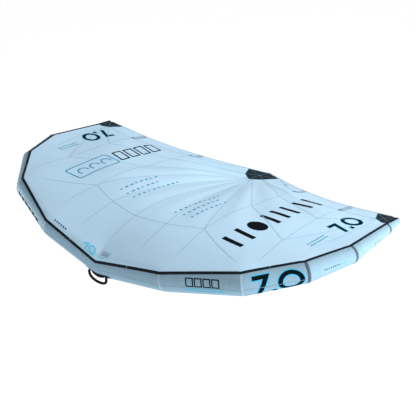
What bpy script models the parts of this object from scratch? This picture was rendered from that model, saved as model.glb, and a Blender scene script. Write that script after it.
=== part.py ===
"""Inflatable wingfoil wing: air tube leading edge, centre strut, cloth canopy, handles and valve.

Metres, +X to the right wing tip, +Y to the trailing edge, +Z up.
Everything is laid out from the nose, the middle of the seam between canopy and leading edge.
One empty then moves the whole wing so that the origin is the middle of the front hand grip.
"""

import math

import bmesh
import bpy
import numpy as np
from mathutils import Vector
from mathutils.bvhtree import BVHTree

for old in list(bpy.data.objects):
    bpy.data.objects.remove(old, do_unlink=True)

# Plan and rise of the wing, measured from the nose
HALF_SPAN = 1.700
ROOT_CHORD = 2.424
TIP_SWEEP = 1.828
RISE = 0.310
NOSE_RADIUS = 0.134

# Leading edge joints from the nose to the tip, as shares of the sizes above
LE_SPAN_SHARES = (0.0, 0.386, 0.734, 0.920, 1.002, 0.994, 1.0)
LE_SWEEP_SHARES = (0.0, 0.032, 0.164, 0.359, 0.582, 0.901, 1.0)
LE_RISE_SHARES = (0.0, 0.413, 0.816, 0.994, 0.997, 0.794, 0.739)
LE_RADIUS_SHARES = (1.0, 0.88, 0.85, 0.694, 0.56, 0.366, 0.20)

# Where the canopy is sewn on and where it leaves the tube, in degrees from the tube's top,
# towards the trailing edge
SEAM_ANGLES = (-65.5, -47.0, -24.0, -4.0, 5.0, 8.0, 10.0)
LEAVE_ANGLES = (-27.0, -15.0, -7.0, 5.0, 11.0, 15.0, 18.0)

# Trailing edge from the middle to the tip; reach runs from the tip's sweep to the root chord
TE_SPAN_SHARES = (0.0, 0.109, 0.37, 0.7235, 0.8906, 0.975)
TE_REACH_SHARES = (1.0, 0.819, 0.460, 0.1275, 0.0386, 0.0117)
TE_RISE_SHARES = (-0.306, -0.187, 0.087, 0.465, 0.648, 0.716)
TE_STATION_SHARES = (0.0, 0.37, 0.66, 0.81, 0.895, 0.945, 0.975)

# Crown of the canopy: span, reach of the root chord, rise
CROWN_SHARES = (
    (0.0, 0.197, 0.71),
    (0.0, 0.842, -0.065),
    (0.063, 0.878, -0.084),
    (0.182, 0.215, 0.745),
    (0.367, 0.259, 0.784),
    (0.371, 0.514, 0.565),
    (0.372, 0.679, 0.368),
    (0.374, 0.790, 0.239),
    (0.725, 0.348, 0.887),
    (0.719, 0.557, 0.719),
    (0.725, 0.693, 0.581),
    (0.925, 0.698, 0.739),
)

# Canopy grid
COLUMNS_PER_PANEL = (4, 4, 3, 2, 2, 1)
WRAP_ROWS = 4
CHORD_ROW_SHARES = (0.04, 0.09, 0.15, 0.22, 0.30, 0.39, 0.48, 0.57, 0.66, 0.75, 0.84, 0.92, 1.0)
LEAVE_RUN_SHARE = 0.40

# Walls and clearances
CASING_WALL = 0.0012
BLADDER_WALL = 0.0007
CLOTH = 0.0010
TOUCH = 0.0003
CLOTH_GAP = 0.0006
PATCH_GAP = 0.0008
CUT_OVERRUN = 0.010
TUBE_SIDES = 28

# Trim on the leading edge
TAPE_WIDTH = 0.016
TAPE_THICKNESS = 0.0014
BAND_WIDTH = 0.024
BAND_THICKNESS = 0.0010
BAND_JOINTS = (3, 4, 5)
BAND_END_ANGLE = 80.0
BAND_TAPE_GAP = 0.003
TIP_DOME_LENGTH = 0.014
DOME_SHARE = 0.90
DOME_RINGS = 5

# Trailing edge hem, patches and battens
HEM_WIDTH = 0.014
HEM_THICKNESS = 0.0024
PATCH_THICKNESS = 0.0010
WELD = 0.00001
TIP_PATCH_SHARES = (
    (0.893, 1.0022),
    (0.925, 0.9256),
    (0.9765, 0.9026),
    (0.986, 0.9057),
    (0.990, 0.9926),
    (0.981, 0.9965),
)
CENTRE_PATCH_SHARES = (
    (0.0, 0.842),
    (0.063, 0.878),
    (0.109, 0.945),
    (0.0, 0.988),
    (-0.109, 0.945),
    (-0.063, 0.878),
)
BATTEN_SPAN_SHARES = (0.371, 0.726)
BATTEN_TAIL_GAP = 0.012
POCKET_LENGTH = 0.180
POCKET_WIDTH = 0.034
POCKET_HEIGHT = 0.0052
POCKET_WALL = 0.0010
BATTEN_WIDTH = 0.024
BATTEN_THICKNESS = 0.0022
BATTEN_STATIONS = 9

# Centre strut
STRUT_FRONT_RADIUS = 0.066
STRUT_BODY_RADIUS = 0.072
STRUT_TAIL_RADIUS = 0.034
STRUT_FIRST_ROW = 1
STRUT_LAST_ROW = 10
STRUT_FULL_ROW = 4
STRUT_TAPER_ROW = 6
STRUT_PANEL_ROWS = ((1, 5), (5, 8), (8, 10))
STRUT_DROP_SHARES = (1.0, 0.52, 0.14)
STRUT_FRONT_DROP = 0.085
STRUT_SIDES = 24
SADDLE_GAP = 0.0009
COLLAR_LENGTH = 0.055
COLLAR_THICKNESS = 0.0014
TAIL_CAP_LENGTH = 0.024
WEB_THICKNESS = 0.0010

# Rigid hand grips under the strut
FRONT_GRIP_REACH = 0.780
REAR_GRIP_REACH = 1.330
GRIP_LEG_SPACING = 0.210
GRIP_CLEARANCE = 0.050
GRIP_BAR_RADIUS = 0.009
GRIP_SLEEVE_RADIUS = 0.015
GRIP_SLEEVE_LENGTH = 0.140
GRIP_BEND_RADIUS = 0.022
GRIP_SIDES = 14
RAIL_OVERHANG = 0.052
RAIL_ANGLE = 24.0
RAIL_THICKNESS = 0.0030

# Soft handle on the nose
NOSE_HANDLE_HALF_WIDTH = 0.100
NOSE_HANDLE_DEPTH = 0.080
NOSE_HANDLE_RADIUS = 0.0075
NOSE_HANDLE_ANGLE = -130.0
NOSE_HANDLE_FULLNESS = 0.80
NOSE_HANDLE_SIDES = 12
NOSE_PATCH_HALF_LENGTH = 0.133
NOSE_PATCH_HALF_WIDTH = 0.030
NOSE_PATCH_THICKNESS = 0.0014

# Leash loop under the strut, ahead of the front grip's rail
LEASH_RAIL_GAP = 0.049
LEASH_PATCH_LENGTH = 0.080
LEASH_PATCH_ANGLE = 26.0
LEASH_PATCH_THICKNESS = 0.0016
STAPLE_RADIUS = 0.0020
STAPLE_HALF_WIDTH = 0.015
STAPLE_DROP = 0.0080
STAPLE_SIDES = 8
WEBBING_WIDTH = 0.022
WEBBING_THICKNESS = 0.0018
LEASH_LOOP_LENGTH = 0.046
LEASH_LOOP_HALF_WIDTH = 0.012

# Inflation valve in the first right panel
VALVE_PANEL_SHARE = 0.58
VALVE_ANGLE = 112.0
VALVE_RADIUS = 0.0210
VALVE_BORE = 0.0170
VALVE_FLANGE_RADIUS = 0.0280
VALVE_FLANGE_THICKNESS = 0.0024
VALVE_NECK_DEPTH = 0.0160
VALVE_HEIGHT = 0.0070
VALVE_CLEARANCE = 0.0005
PLUG_HEAD_RADIUS = 0.0190
PLUG_HEAD_HEIGHT = 0.0060
PLUG_DEPTH = 0.0100
PLUG_LOBES = 6
PLUG_LOBE_SHARE = 0.06
PLUG_TOP_SHARE = 0.80
FLAP_THICKNESS = 0.0010
VALVE_SIDES = 36

# Air hose from the leading edge to the strut
HOSE_PANEL_SHARE = 0.26
HOSE_ANGLE = 100.0
HOSE_STRUT_REACH = 0.480
HOSE_STRUT_ANGLE = 90.0
HOSE_RADIUS = 0.0080
HOSE_BORE = 0.0055
HOSE_CURVE_REACH = 0.085
HOSE_POINTS = 22
HOSE_SIDES = 12
BARB_RADIUS = 0.0065
BARB_FLANGE_RADIUS = 0.0150
BARB_FLANGE_THICKNESS = 0.0030
BARB_STEM_RADIUS = 0.0050
BARB_BORE = 0.0033
BARB_STEM_LENGTH = 0.0160
BARB_DEPTH = 0.0090

# Pinch clip on the hose
CLIP_LENGTH = 0.030
CLIP_WALL = 0.0030
CLIP_SIDE_GAP = 0.0008
CLIP_CHEEK_RISE = 0.0070
LEVER_THICKNESS = 0.0030
LEVER_TAB = 0.010
LEVER_SIDE_GAP = 0.0005
BARREL_RADIUS = 0.0026

COLOURS = {
    "casing": ((0.36, 0.50, 0.62), 0.55, 0.0),
    "canopy": ((0.48, 0.68, 0.85), 0.6, 0.0),
    "black_cloth": ((0.012, 0.015, 0.02), 0.5, 0.0),
    "band_grey": ((0.10, 0.13, 0.16), 0.6, 0.0),
    "pocket_grey": ((0.25, 0.33, 0.40), 0.6, 0.0),
    "bladder": ((0.75, 0.78, 0.80), 0.3, 0.0),
    "batten": ((0.80, 0.80, 0.72), 0.4, 0.0),
    "foam": ((0.02, 0.02, 0.022), 0.8, 0.0),
    "carbon": ((0.02, 0.02, 0.02), 0.25, 0.0),
    "plastic": ((0.03, 0.03, 0.035), 0.4, 0.0),
    "webbing": ((0.015, 0.015, 0.018), 0.8, 0.0),
    "steel": ((0.60, 0.60, 0.62), 0.3, 1.0),
    "hose": ((0.05, 0.06, 0.07), 0.45, 0.0),
    "silicone": ((0.70, 0.72, 0.72), 0.5, 0.0),
}

# Meshes and objects


def material(name):
    """The named finish, made once."""
    made = bpy.data.materials.get(name)
    if made is None:
        colour, roughness, metallic = COLOURS[name]
        made = bpy.data.materials.new(name)
        made.use_nodes = True
        shader = made.node_tree.nodes["Principled BSDF"]
        shader.inputs["Base Color"].default_value = (*colour, 1.0)
        shader.inputs["Roughness"].default_value = roughness
        shader.inputs["Metallic"].default_value = metallic
    return made


def add_piece(name, solid, finish, origin=(0.0, 0.0, 0.0)):
    """One named object from points and faces, with its origin at a point of the layout."""
    points, faces = solid
    mesh = bpy.data.meshes.new(name)
    mesh.from_pydata((np.asarray(points) - np.asarray(origin)).tolist(), [], faces)
    work = bmesh.new()
    work.from_mesh(mesh)
    bmesh.ops.recalc_face_normals(work, faces=work.faces)
    work.to_mesh(mesh)
    work.free()
    mesh.shade_smooth()
    mesh.set_sharp_from_angle(angle=math.radians(35.0))
    mesh.materials.append(material(finish))
    piece = bpy.data.objects.new(name, mesh)
    piece.location = origin
    bpy.context.scene.collection.objects.link(piece)
    return piece


def add_cutter(name, solid):
    """A hidden solid that only cuts others."""
    cutter = add_piece(name, solid, "plastic")
    cutter.hide_render = True
    cutter.display_type = "WIRE"
    return cutter


def cut(piece, cutter):
    """Takes a cutter out of a piece."""
    modifier = piece.modifiers.new(cutter.name, "BOOLEAN")
    modifier.operation = "DIFFERENCE"
    modifier.solver = "EXACT"
    modifier.object = cutter


def cell_faces(index, closed):
    """Two triangles for each cell of a grid of point numbers; closed joins its last column to its first."""
    if closed:
        index = np.concatenate([index, index[:, :1]], axis=1)
    a, b = index[:-1, :-1].ravel(), index[:-1, 1:].ravel()
    c, d = index[1:, 1:].ravel(), index[1:, :-1].ravel()
    return np.concatenate([np.stack([a, b, c], 1), np.stack([a, c, d], 1)]).tolist()


def wall_solid(outer, inner, closed):
    """The closed wall between two grids of points, shaped rows by columns."""
    rows, columns = outer.shape[:2]
    near = np.arange(rows * columns).reshape(rows, columns)
    far = near + rows * columns
    faces = cell_faces(near, closed) + cell_faces(far, closed)
    faces += cell_faces(np.stack([near[0], far[0]]), closed)
    faces += cell_faces(np.stack([near[-1], far[-1]]), closed)
    if not closed:
        faces += cell_faces(np.stack([near[:, 0], far[:, 0]]), False)
        faces += cell_faces(np.stack([near[:, -1], far[:, -1]]), False)
    return np.concatenate([outer.reshape(-1, 3), inner.reshape(-1, 3)]), faces


def tube_solid(rings):
    """A solid through closed rings of points, with flat ends."""
    rows, columns = rings.shape[:2]
    index = np.arange(rows * columns).reshape(rows, columns)
    faces = cell_faces(index, True) + [index[0].tolist(), index[-1].tolist()]
    return rings.reshape(-1, 3), faces


def cup_solid(outer, inner):
    """The closed wall of a tube whose last rings are shut by flat ends."""
    rows, columns = outer.shape[:2]
    near = np.arange(rows * columns).reshape(rows, columns)
    far = near + rows * columns
    faces = cell_faces(near, True) + cell_faces(far, True) + cell_faces(np.stack([near[0], far[0]]), True)
    faces += [near[-1].tolist(), far[-1].tolist()]
    return np.concatenate([outer.reshape(-1, 3), inner.reshape(-1, 3)]), faces


def hoop_solid(rings):
    """A solid through rings of points whose last ring meets the first."""
    rows, columns = rings.shape[:2]
    index = np.arange(rows * columns).reshape(rows, columns)
    return rings.reshape(-1, 3), cell_faces(np.concatenate([index, index[:1]]), True)


def circle(sides):
    """Angles of an evenly divided circle."""
    return np.linspace(0.0, 2.0 * math.pi, sides, endpoint=False)


def unit(vectors):
    """Vectors brought to length one."""
    vectors = np.asarray(vectors, float)
    return vectors / np.linalg.norm(vectors, axis=-1, keepdims=True)


def swept(path, radii, sides, across):
    """Rings of a round tube along a path; across is a direction square to its start."""
    path = np.asarray(path, float)
    along = unit(np.gradient(path, axis=0))
    turn = circle(sides)
    rings, across = [], np.asarray(across, float)
    for point, direction, radius in zip(path, along, radii):
        across = unit(across - across.dot(direction) * direction)
        third = np.cross(direction, across)
        rings.append(point + radius * (np.cos(turn)[:, None] * across + np.sin(turn)[:, None] * third))
    return np.array(rings)


def turned(profile, sides, lobes=None):
    """Rings of a closed profile of (radius, height) turned round the Z axis."""
    turn = circle(sides)
    rings = []
    for row, (radius, height) in enumerate(profile):
        swell = 1.0 if lobes is None else 1.0 + lobes[row] * np.cos(PLUG_LOBES * turn)
        flat = np.full(sides, height)
        rings.append(np.stack([radius * swell * np.cos(turn), radius * swell * np.sin(turn), flat], 1))
    return np.array(rings)


def prism(outline, origin, first, second, third, depth):
    """A solid from an outline in the first two directions, carried both ways along the third."""
    outline = np.asarray(outline, float)
    flat = origin + outline[:, :1] * first + outline[:, 1:] * second
    return tube_solid(np.stack([flat - third * depth / 2.0, flat + third * depth / 2.0]))


def placed(solid, frame):
    """A solid of local points put in a frame of (origin, x, y, z)."""
    points, faces = solid
    origin, x, y, z = frame
    return origin + points[:, :1] * x + points[:, 1:2] * y + points[:, 2:] * z, faces


def mirrored(points, side):
    """Points of the right half, or their mirror image for the left."""
    return points * np.array([side, 1.0, 1.0])


def spline(knots, values, wanted):
    """Natural cubic curve through the knots."""
    x, y = np.asarray(knots, float), np.asarray(values, float)
    step = np.diff(x)
    size = len(x)
    system, right = np.eye(size), np.zeros(size)
    for i in range(1, size - 1):
        system[i, i - 1 : i + 2] = step[i - 1], 2.0 * (step[i - 1] + step[i]), step[i]
        right[i] = 6.0 * ((y[i + 1] - y[i]) / step[i] - (y[i] - y[i - 1]) / step[i - 1])
    bend = np.linalg.solve(system, right)
    wanted = np.asarray(wanted, float)
    cell = np.clip(np.searchsorted(x, wanted) - 1, 0, size - 2)
    before, after, width = wanted - x[cell], x[cell + 1] - wanted, step[cell]
    return (
        (bend[cell] * after**3 + bend[cell + 1] * before**3) / (6.0 * width)
        + (y[cell] / width - bend[cell] * width / 6.0) * after
        + (y[cell + 1] / width - bend[cell + 1] * width / 6.0) * before
    )


# The leading edge tube


def seam_points():
    """Joints of the seam on the right half."""
    span = np.array(LE_SPAN_SHARES) * HALF_SPAN
    return np.stack([span, np.array(LE_SWEEP_SHARES) * TIP_SWEEP, np.array(LE_RISE_SHARES) * RISE], 1)


def joint_frames(points):
    """Along, up and inboard directions at each joint of a line, and how far the tube bends there."""
    legs = unit(np.diff(points, axis=0))
    along = np.concatenate([[[1.0, 0.0, 0.0]], unit(legs[:-1] + legs[1:]), legs[-1:]])
    upward = np.array([0.0, 0.0, 1.0]) - along[:, 2:] * along
    upward = unit(upward)
    inboard = np.cross(upward, along)
    outward = np.zeros_like(points)
    stretch = np.ones(len(points))
    outward[1:-1] = unit(legs[:-1] - legs[1:])
    stretch[1:-1] = 1.0 / (legs[:-1] * along[1:-1]).sum(axis=1)
    return along, upward, inboard, outward, stretch


JOINT_RADII = np.array(LE_RADIUS_SHARES) * NOSE_RADIUS


def axis_points():
    """Joints of the tube's middle line, under the seam."""
    seam = seam_points()
    _, upward, inboard, _, _ = joint_frames(seam)
    angle = np.radians(SEAM_ANGLES)[:, None]
    return seam - JOINT_RADII[:, None] * (np.cos(angle) * upward + np.sin(angle) * inboard)


AXIS = axis_points()
ALONG, UPWARD, INBOARD, OUTWARD, STRETCH = joint_frames(AXIS)


def joint_ring(joint, degrees, extra=0.0):
    """Points on the mitred ring at a joint, extra metres outside the casing."""
    angle = np.radians(degrees)[..., None]
    spoke = np.cos(angle) * UPWARD[joint] + np.sin(angle) * INBOARD[joint]
    lean = (spoke @ OUTWARD[joint])[..., None] * OUTWARD[joint]
    return AXIS[joint] + (JOINT_RADII[joint] + extra) * (spoke + (STRETCH[joint] - 1.0) * lean)


def on_tube(panel, share, degrees, extra=0.0):
    """Points on a panel, share of the way from its inner joint to its outer one."""
    near, far = joint_ring(panel, degrees, extra), joint_ring(panel + 1, degrees, extra)
    return near + (far - near) * share


def tube_frame(panel, share, degrees):
    """Origin on the casing, direction along the tube, across it, and out of it."""
    degrees = np.asarray(degrees)
    origin = on_tube(panel, share, degrees)
    along = unit(AXIS[panel + 1] - AXIS[panel])
    middle = AXIS[panel] + (AXIS[panel + 1] - AXIS[panel]) * share
    out = origin - middle
    out = unit(out - out.dot(along) * along)
    return origin, along, np.cross(out, along), out


RING_DEGREES = np.degrees(circle(TUBE_SIDES))


def panel_length(panel):
    """Length of a panel along the tube's middle line."""
    return np.linalg.norm(AXIS[panel + 1] - AXIS[panel])


def casing_panel(panel, side):
    """One straight tapered panel of the casing, a little short of its neighbours."""
    trim = TOUCH / 2.0 / panel_length(panel)
    outermost = panel == len(AXIS) - 2
    walls = []
    for extra in (0.0, -CASING_WALL):
        rows = [on_tube(panel, share, RING_DEGREES, extra) for share in (trim, 1.0 - trim)]
        if outermost:
            rows += tip_dome(extra)
        walls.append(mirrored(np.array(rows), side))
    if outermost:
        return cup_solid(walls[0], walls[1])
    return wall_solid(walls[0], walls[1], True)


def tip_dome(extra):
    """Rings of the rounded end of the casing, past the last joint."""
    last = len(AXIS) - 1
    spokes = joint_ring(last, RING_DEGREES, extra) - AXIS[last]
    rings = []
    for angle in np.linspace(0.0, DOME_SHARE, DOME_RINGS) * math.pi / 2.0:
        reach = (TIP_DOME_LENGTH + extra) * math.sin(angle)
        rings.append(AXIS[last] + spokes * math.cos(angle) + ALONG[last] * reach)
    return rings


def span_rings(degrees, extra):
    """Mitred rings from the left tip to the right one."""
    right = np.array([joint_ring(joint, degrees, extra) for joint in range(len(AXIS))])
    return np.concatenate([mirrored(right[:0:-1], -1.0), right])


def build_leading_edge():
    """Casing panels, bladder and bands."""
    panels = {}
    for side, letter in ((1.0, "right"), (-1.0, "left")):
        for panel in range(len(AXIS) - 1):
            name = f"le_panel_{letter}_{panel + 1}"
            panels[name] = add_piece(name, casing_panel(panel, side), "casing")
        for joint in BAND_JOINTS:
            add_piece(f"le_band_{letter}_{joint}", band(joint, side), "band_grey")
    outside = span_rings(RING_DEGREES, -CASING_WALL - TOUCH)
    inside = span_rings(RING_DEGREES, -CASING_WALL - TOUCH - BLADDER_WALL)
    bladder = add_piece("le_bladder", tube_solid(outside), "bladder")
    short = BLADDER_WALL / panel_length(len(AXIS) - 2)
    inside[0] += (inside[1] - inside[0]) * short
    inside[-1] += (inside[-2] - inside[-1]) * short
    cut(bladder, add_cutter("le_bladder_air", tube_solid(inside)))
    return panels, bladder


def seam_angle(panel, share):
    """Angle of the canopy seam at a place on the tube, in degrees."""
    return SEAM_ANGLES[panel] + (SEAM_ANGLES[panel + 1] - SEAM_ANGLES[panel]) * share


def radius_at(panel, share):
    """Radius of the casing at a place on the tube."""
    return JOINT_RADII[panel] + (JOINT_RADII[panel + 1] - JOINT_RADII[panel]) * share


def band(joint, side):
    """A reinforcing band round a joint, open under the canopy."""
    arc = np.degrees((TAPE_WIDTH / 2.0 + BAND_TAPE_GAP) / JOINT_RADII[joint])
    degrees = np.linspace(BAND_END_ANGLE, 360.0 + SEAM_ANGLES[joint] - arc, TUBE_SIDES)
    before = 1.0 - BAND_WIDTH / 2.0 / panel_length(joint - 1)
    after = BAND_WIDTH / 2.0 / panel_length(joint)
    walls = []
    for extra in (CLOTH_GAP + BAND_THICKNESS, CLOTH_GAP):
        rows = [
            on_tube(joint - 1, before, degrees, extra),
            joint_ring(joint, degrees, extra),
            on_tube(joint, after, degrees, extra),
        ]
        walls.append(mirrored(np.array(rows), side))
    return wall_solid(walls[0], walls[1], False)


# The canopy


def stations():
    """Places along the right half of the tube: panel number and share of the panel."""
    places = [(0, 0.0)]
    for panel, columns in enumerate(COLUMNS_PER_PANEL):
        places += [(panel, (column + 1) / columns) for column in range(columns)]
    return places


def seam_tape():
    """The black tape on the tube along the canopy's edge, from tip to tip."""
    walls = []
    for extra in (CLOTH_GAP + TAPE_THICKNESS, CLOTH_GAP):
        rows = []
        for panel, share in stations():
            half = np.degrees(TAPE_WIDTH / 2.0 / radius_at(panel, share))
            degrees = seam_angle(panel, share) + np.linspace(-half, half, 4)
            rows.append(on_tube(panel, share, degrees, extra))
        right = np.array(rows)
        walls.append(np.concatenate([mirrored(right[:0:-1], -1.0), right]))
    return wall_solid(walls[0], walls[1], False)


def trailing_edge(span):
    """Points of the trailing edge at distances from the middle."""
    knots = np.array(TE_SPAN_SHARES) * HALF_SPAN
    reach = spline(knots, TIP_SWEEP + np.array(TE_REACH_SHARES) * (ROOT_CHORD - TIP_SWEEP), span)
    return np.stack([span, reach, spline(knots, np.array(TE_RISE_SHARES) * RISE, span)], 1)


def station_count():
    """Joint numbers of the stations, with the share of the panel as the decimals."""
    return np.array([panel + share for panel, share in stations()])


def wrap_rows():
    """Rows of the canopy that lie on the tube, from the seam to where it leaves."""
    rows = []
    for row in np.linspace(0.0, 1.0, WRAP_ROWS):
        line = []
        for panel, share in stations():
            radius = radius_at(panel, share)
            first = seam_angle(panel, share) + np.degrees((TAPE_WIDTH / 2.0 + CLOTH_GAP) / radius)
            last = LEAVE_ANGLES[panel] + (LEAVE_ANGLES[panel + 1] - LEAVE_ANGLES[panel]) * share
            last = max(last, first + np.degrees(CLOTH_GAP * WRAP_ROWS / radius))
            half_step = math.radians((last - first) / (WRAP_ROWS - 1) / 2.0)
            lift = (radius + CLOTH_GAP) / math.cos(half_step) - radius
            line.append(on_tube(panel, share, np.asarray(first + (last - first) * row), lift))
        rows.append(np.array(line))
    return np.array(rows)


def leave_directions():
    """Directions in which the canopy leaves the tube at each station."""
    found = []
    for panel, share in stations():
        degrees = LEAVE_ANGLES[panel] + (LEAVE_ANGLES[panel + 1] - LEAVE_ANGLES[panel]) * share
        angle = math.radians(degrees)
        upward = UPWARD[panel] + (UPWARD[panel + 1] - UPWARD[panel]) * share
        inboard = INBOARD[panel] + (INBOARD[panel + 1] - INBOARD[panel]) * share
        found.append(unit(math.cos(angle) * inboard - math.sin(angle) * upward))
    return np.array(found)


def plate_kernel(here, there):
    """Distance squared times its logarithm between two sets of plan points."""
    square = ((here[:, None, :] - there[None, :, :]) ** 2).sum(axis=2)
    return square * np.log(np.where(square > 0.0, square, 1.0))


class Crown:
    """Height of the canopy's underside: the thin plate bent through the known points."""

    def __init__(self, points):
        points = np.concatenate([points, mirrored(points[points[:, 0] > 0.0], -1.0)])
        self.plan = points[:, :2] / HALF_SPAN
        size = len(points)
        system = np.zeros((size + 3, size + 3))
        system[:size, :size] = plate_kernel(self.plan, self.plan)
        system[:size, size:] = np.column_stack([np.ones(size), self.plan])
        system[size:, :size] = system[:size, size:].T
        self.weights = np.linalg.solve(system, np.concatenate([points[:, 2], np.zeros(3)]))

    def height(self, plan):
        """Heights at plan points."""
        plan = np.asarray(plan, float) / HALF_SPAN
        flat = np.column_stack([np.ones(len(plan)), plan])
        return plate_kernel(plan, self.plan) @ self.weights[:-3] + flat @ self.weights[-3:]


def canopy_grid():
    """Underside of the right half of the canopy, rows from the seam to the trailing edge."""
    wrap = wrap_rows()
    leave = wrap[-1]
    spans = np.interp(station_count(), np.arange(len(AXIS)), np.array(TE_STATION_SHARES) * HALF_SPAN)
    edge = trailing_edge(spans)
    crown = np.array(CROWN_SHARES) * np.array([HALF_SPAN, ROOT_CHORD, RISE])
    radii = np.array([radius_at(panel, share) for panel, share in stations()])
    guides = leave + leave_directions() * (LEAVE_RUN_SHARE * radii)[:, None]
    known = np.concatenate([leave, guides, edge, crown])
    surface = Crown(known)
    reach = edge[:, :2] - leave[:, :2]
    length = np.linalg.norm(reach, axis=1, keepdims=True)
    reach = reach * (1.0 - HEM_WIDTH / length)
    rows = list(wrap)
    for share in CHORD_ROW_SHARES:
        plan = leave[:, :2] + reach * share
        rows.append(np.column_stack([plan, surface.height(plan)]))
    return np.array(rows)


def whole_span(right):
    """A grid of the right half joined to its mirror image."""
    return np.concatenate([mirrored(right[:, :0:-1], -1.0), right], axis=1)


def grid_normals(grid):
    """Upward normals of a grid of points."""
    down, across = np.gradient(grid, axis=0), np.gradient(grid, axis=1)
    return unit(np.cross(across, down))


def build_canopy():
    """Canopy, its hem and the tape along its seam."""
    under = whole_span(canopy_grid())
    over = under + CLOTH * grid_normals(under)
    canopy = add_piece("canopy", wall_solid(over, under, False), "canopy")
    add_piece("canopy_seam_tape", seam_tape(), "black_cloth")
    add_piece("trailing_edge_hem", hem(under), "pocket_grey")
    return canopy, under, over


def hem(under):
    """A flat strip along the trailing edge, face to face with the canopy."""
    edge, before = under[-1], under[-2]
    back = unit(edge - before)
    normal = grid_normals(under)[-1]
    middle = edge + normal * CLOTH / 2.0
    near, far = middle + back * TOUCH, middle + back * HEM_WIDTH
    half = normal * HEM_THICKNESS / 2.0
    return tube_solid(np.stack([near - half, far - half, far + half, near + half], axis=1))


def top_of(canopy):
    """A function that gives the canopy's top and its normal under a plan point."""
    mesh = canopy.data
    tree = BVHTree.FromPolygons([v.co for v in mesh.vertices], [p.vertices for p in mesh.polygons])
    sky = HALF_SPAN

    def top(x, y):
        hit, normal, _, _ = tree.ray_cast(Vector((x, y, sky)), Vector((0.0, 0.0, -1.0)))
        return np.array(hit), np.array(normal) * math.copysign(1.0, normal.z)

    return top


def clipped(polygon, start, end):
    """The part of a polygon to the left of a line in plan."""
    leftward = np.array([start[1] - end[1], end[0] - start[0]])
    depths = (polygon[:, :2] - start) @ leftward
    kept = []
    for here, there, near, far in zip(polygon, np.roll(polygon, -1, axis=0), depths, np.roll(depths, -1)):
        if near >= 0.0:
            kept.append(here)
        if near * far < 0.0:
            kept.append(here + (there - here) * near / (near - far))
    return np.array(kept).reshape(-1, 3)


def patch(outline, over):
    """A thin patch inside a convex plan outline, parallel to every facet of the canopy's top."""
    rows, columns = over.shape[:2]
    sheet, numbers, cells = over.reshape(-1, 3), {}, []
    for cell in cell_faces(np.arange(rows * columns).reshape(rows, columns), False):
        piece = sheet[cell]
        if np.cross(piece[1] - piece[0], piece[2] - piece[0])[2] < 0.0:
            piece = piece[::-1]
        for start, end in zip(outline, np.roll(outline, -1, axis=0)):
            piece = clipped(piece, start, end)
        keys = dict.fromkeys(tuple(np.round(point / WELD).astype(int)) for point in piece)
        if len(keys) > 2:
            cells.append([numbers.setdefault(key, len(numbers)) for key in keys])
    low = np.array(list(numbers)) * WELD + np.array([0.0, 0.0, PATCH_GAP])
    high = low + np.array([0.0, 0.0, PATCH_THICKNESS])
    lid = [[number + len(low) for number in cell] for cell in cells]
    sides = {pair for cell in cells for pair in zip(cell, cell[1:] + cell[:1])}
    walls = [[a, b, b + len(low), a + len(low)] for a, b in sides if (b, a) not in sides]
    return np.concatenate([low, high]), [cell[::-1] for cell in cells] + lid + sorted(walls)


def build_patches(over):
    """Black patches at the middle of the trailing edge and at both tips."""
    outline = np.array(CENTRE_PATCH_SHARES) * np.array([HALF_SPAN, ROOT_CHORD])
    add_piece("te_centre_patch", patch(outline, over), "black_cloth")
    for side, letter in ((1.0, "right"), (-1.0, "left")):
        outline = np.array(TIP_PATCH_SHARES) * np.array([side * HALF_SPAN, TIP_SWEEP])
        add_piece(f"tip_patch_{letter}", patch(outline[:: int(side)], over), "black_cloth")


def slot_rings(frames, width, low, high):
    """Rectangular rings across a line of frames on the canopy."""
    rings = []
    for point, across, normal in frames:
        side = across * width / 2.0
        bottom, lid = point + normal * low, point + normal * high
        rings.append([bottom - side, bottom + side, lid + side, lid - side])
    return np.array(rings)


def batten_frames(x, top, edge_y):
    """Frames on the canopy's top along a batten, from its front to its tail."""
    frames = []
    for share in np.linspace(0.0, 1.0, BATTEN_STATIONS):
        y = edge_y - BATTEN_TAIL_GAP - POCKET_LENGTH * (1.0 - share)
        left, _ = top(x - POCKET_WIDTH / 2.0, y)
        right, _ = top(x + POCKET_WIDTH / 2.0, y)
        middle, _ = top(x, y)
        across = unit(right - left)
        ahead, _ = top(x, y + POCKET_WIDTH / 2.0) if share < 1.0 else top(x, y - POCKET_WIDTH / 2.0)
        run = (ahead - middle) * (1.0 if share < 1.0 else -1.0)
        frames.append((np.maximum(middle, (left + right) / 2.0), across, unit(np.cross(across, run))))
    return frames


def build_battens(top, under):
    """Four flat battens in their pockets at the trailing edge."""
    edge = under[-1]
    order = np.argsort(edge[:, 0])
    for number, share in enumerate(BATTEN_SPAN_SHARES):
        for side, letter in ((1.0, "right"), (-1.0, "left")):
            x = side * share * HALF_SPAN
            edge_y = float(np.interp(x, edge[order, 0], edge[order, 1]))
            frames = batten_frames(x, top, edge_y)
            low, high = PATCH_GAP, PATCH_GAP + POCKET_HEIGHT
            outer = slot_rings(frames, POCKET_WIDTH, low, high)
            width = POCKET_WIDTH - 2.0 * POCKET_WALL
            inner = slot_rings(frames, width, low + POCKET_WALL, high - POCKET_WALL)
            name = f"{letter}_{number + 1}"
            add_piece(f"batten_pocket_{name}", wall_solid(outer, inner, True), "pocket_grey")
            middle, half = (low + high) / 2.0, BATTEN_THICKNESS / 2.0
            bar = slot_rings(frames, BATTEN_WIDTH, middle - half, middle + half)
            add_piece(f"batten_{name}", tube_solid(bar), "batten")


# The strut


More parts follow.
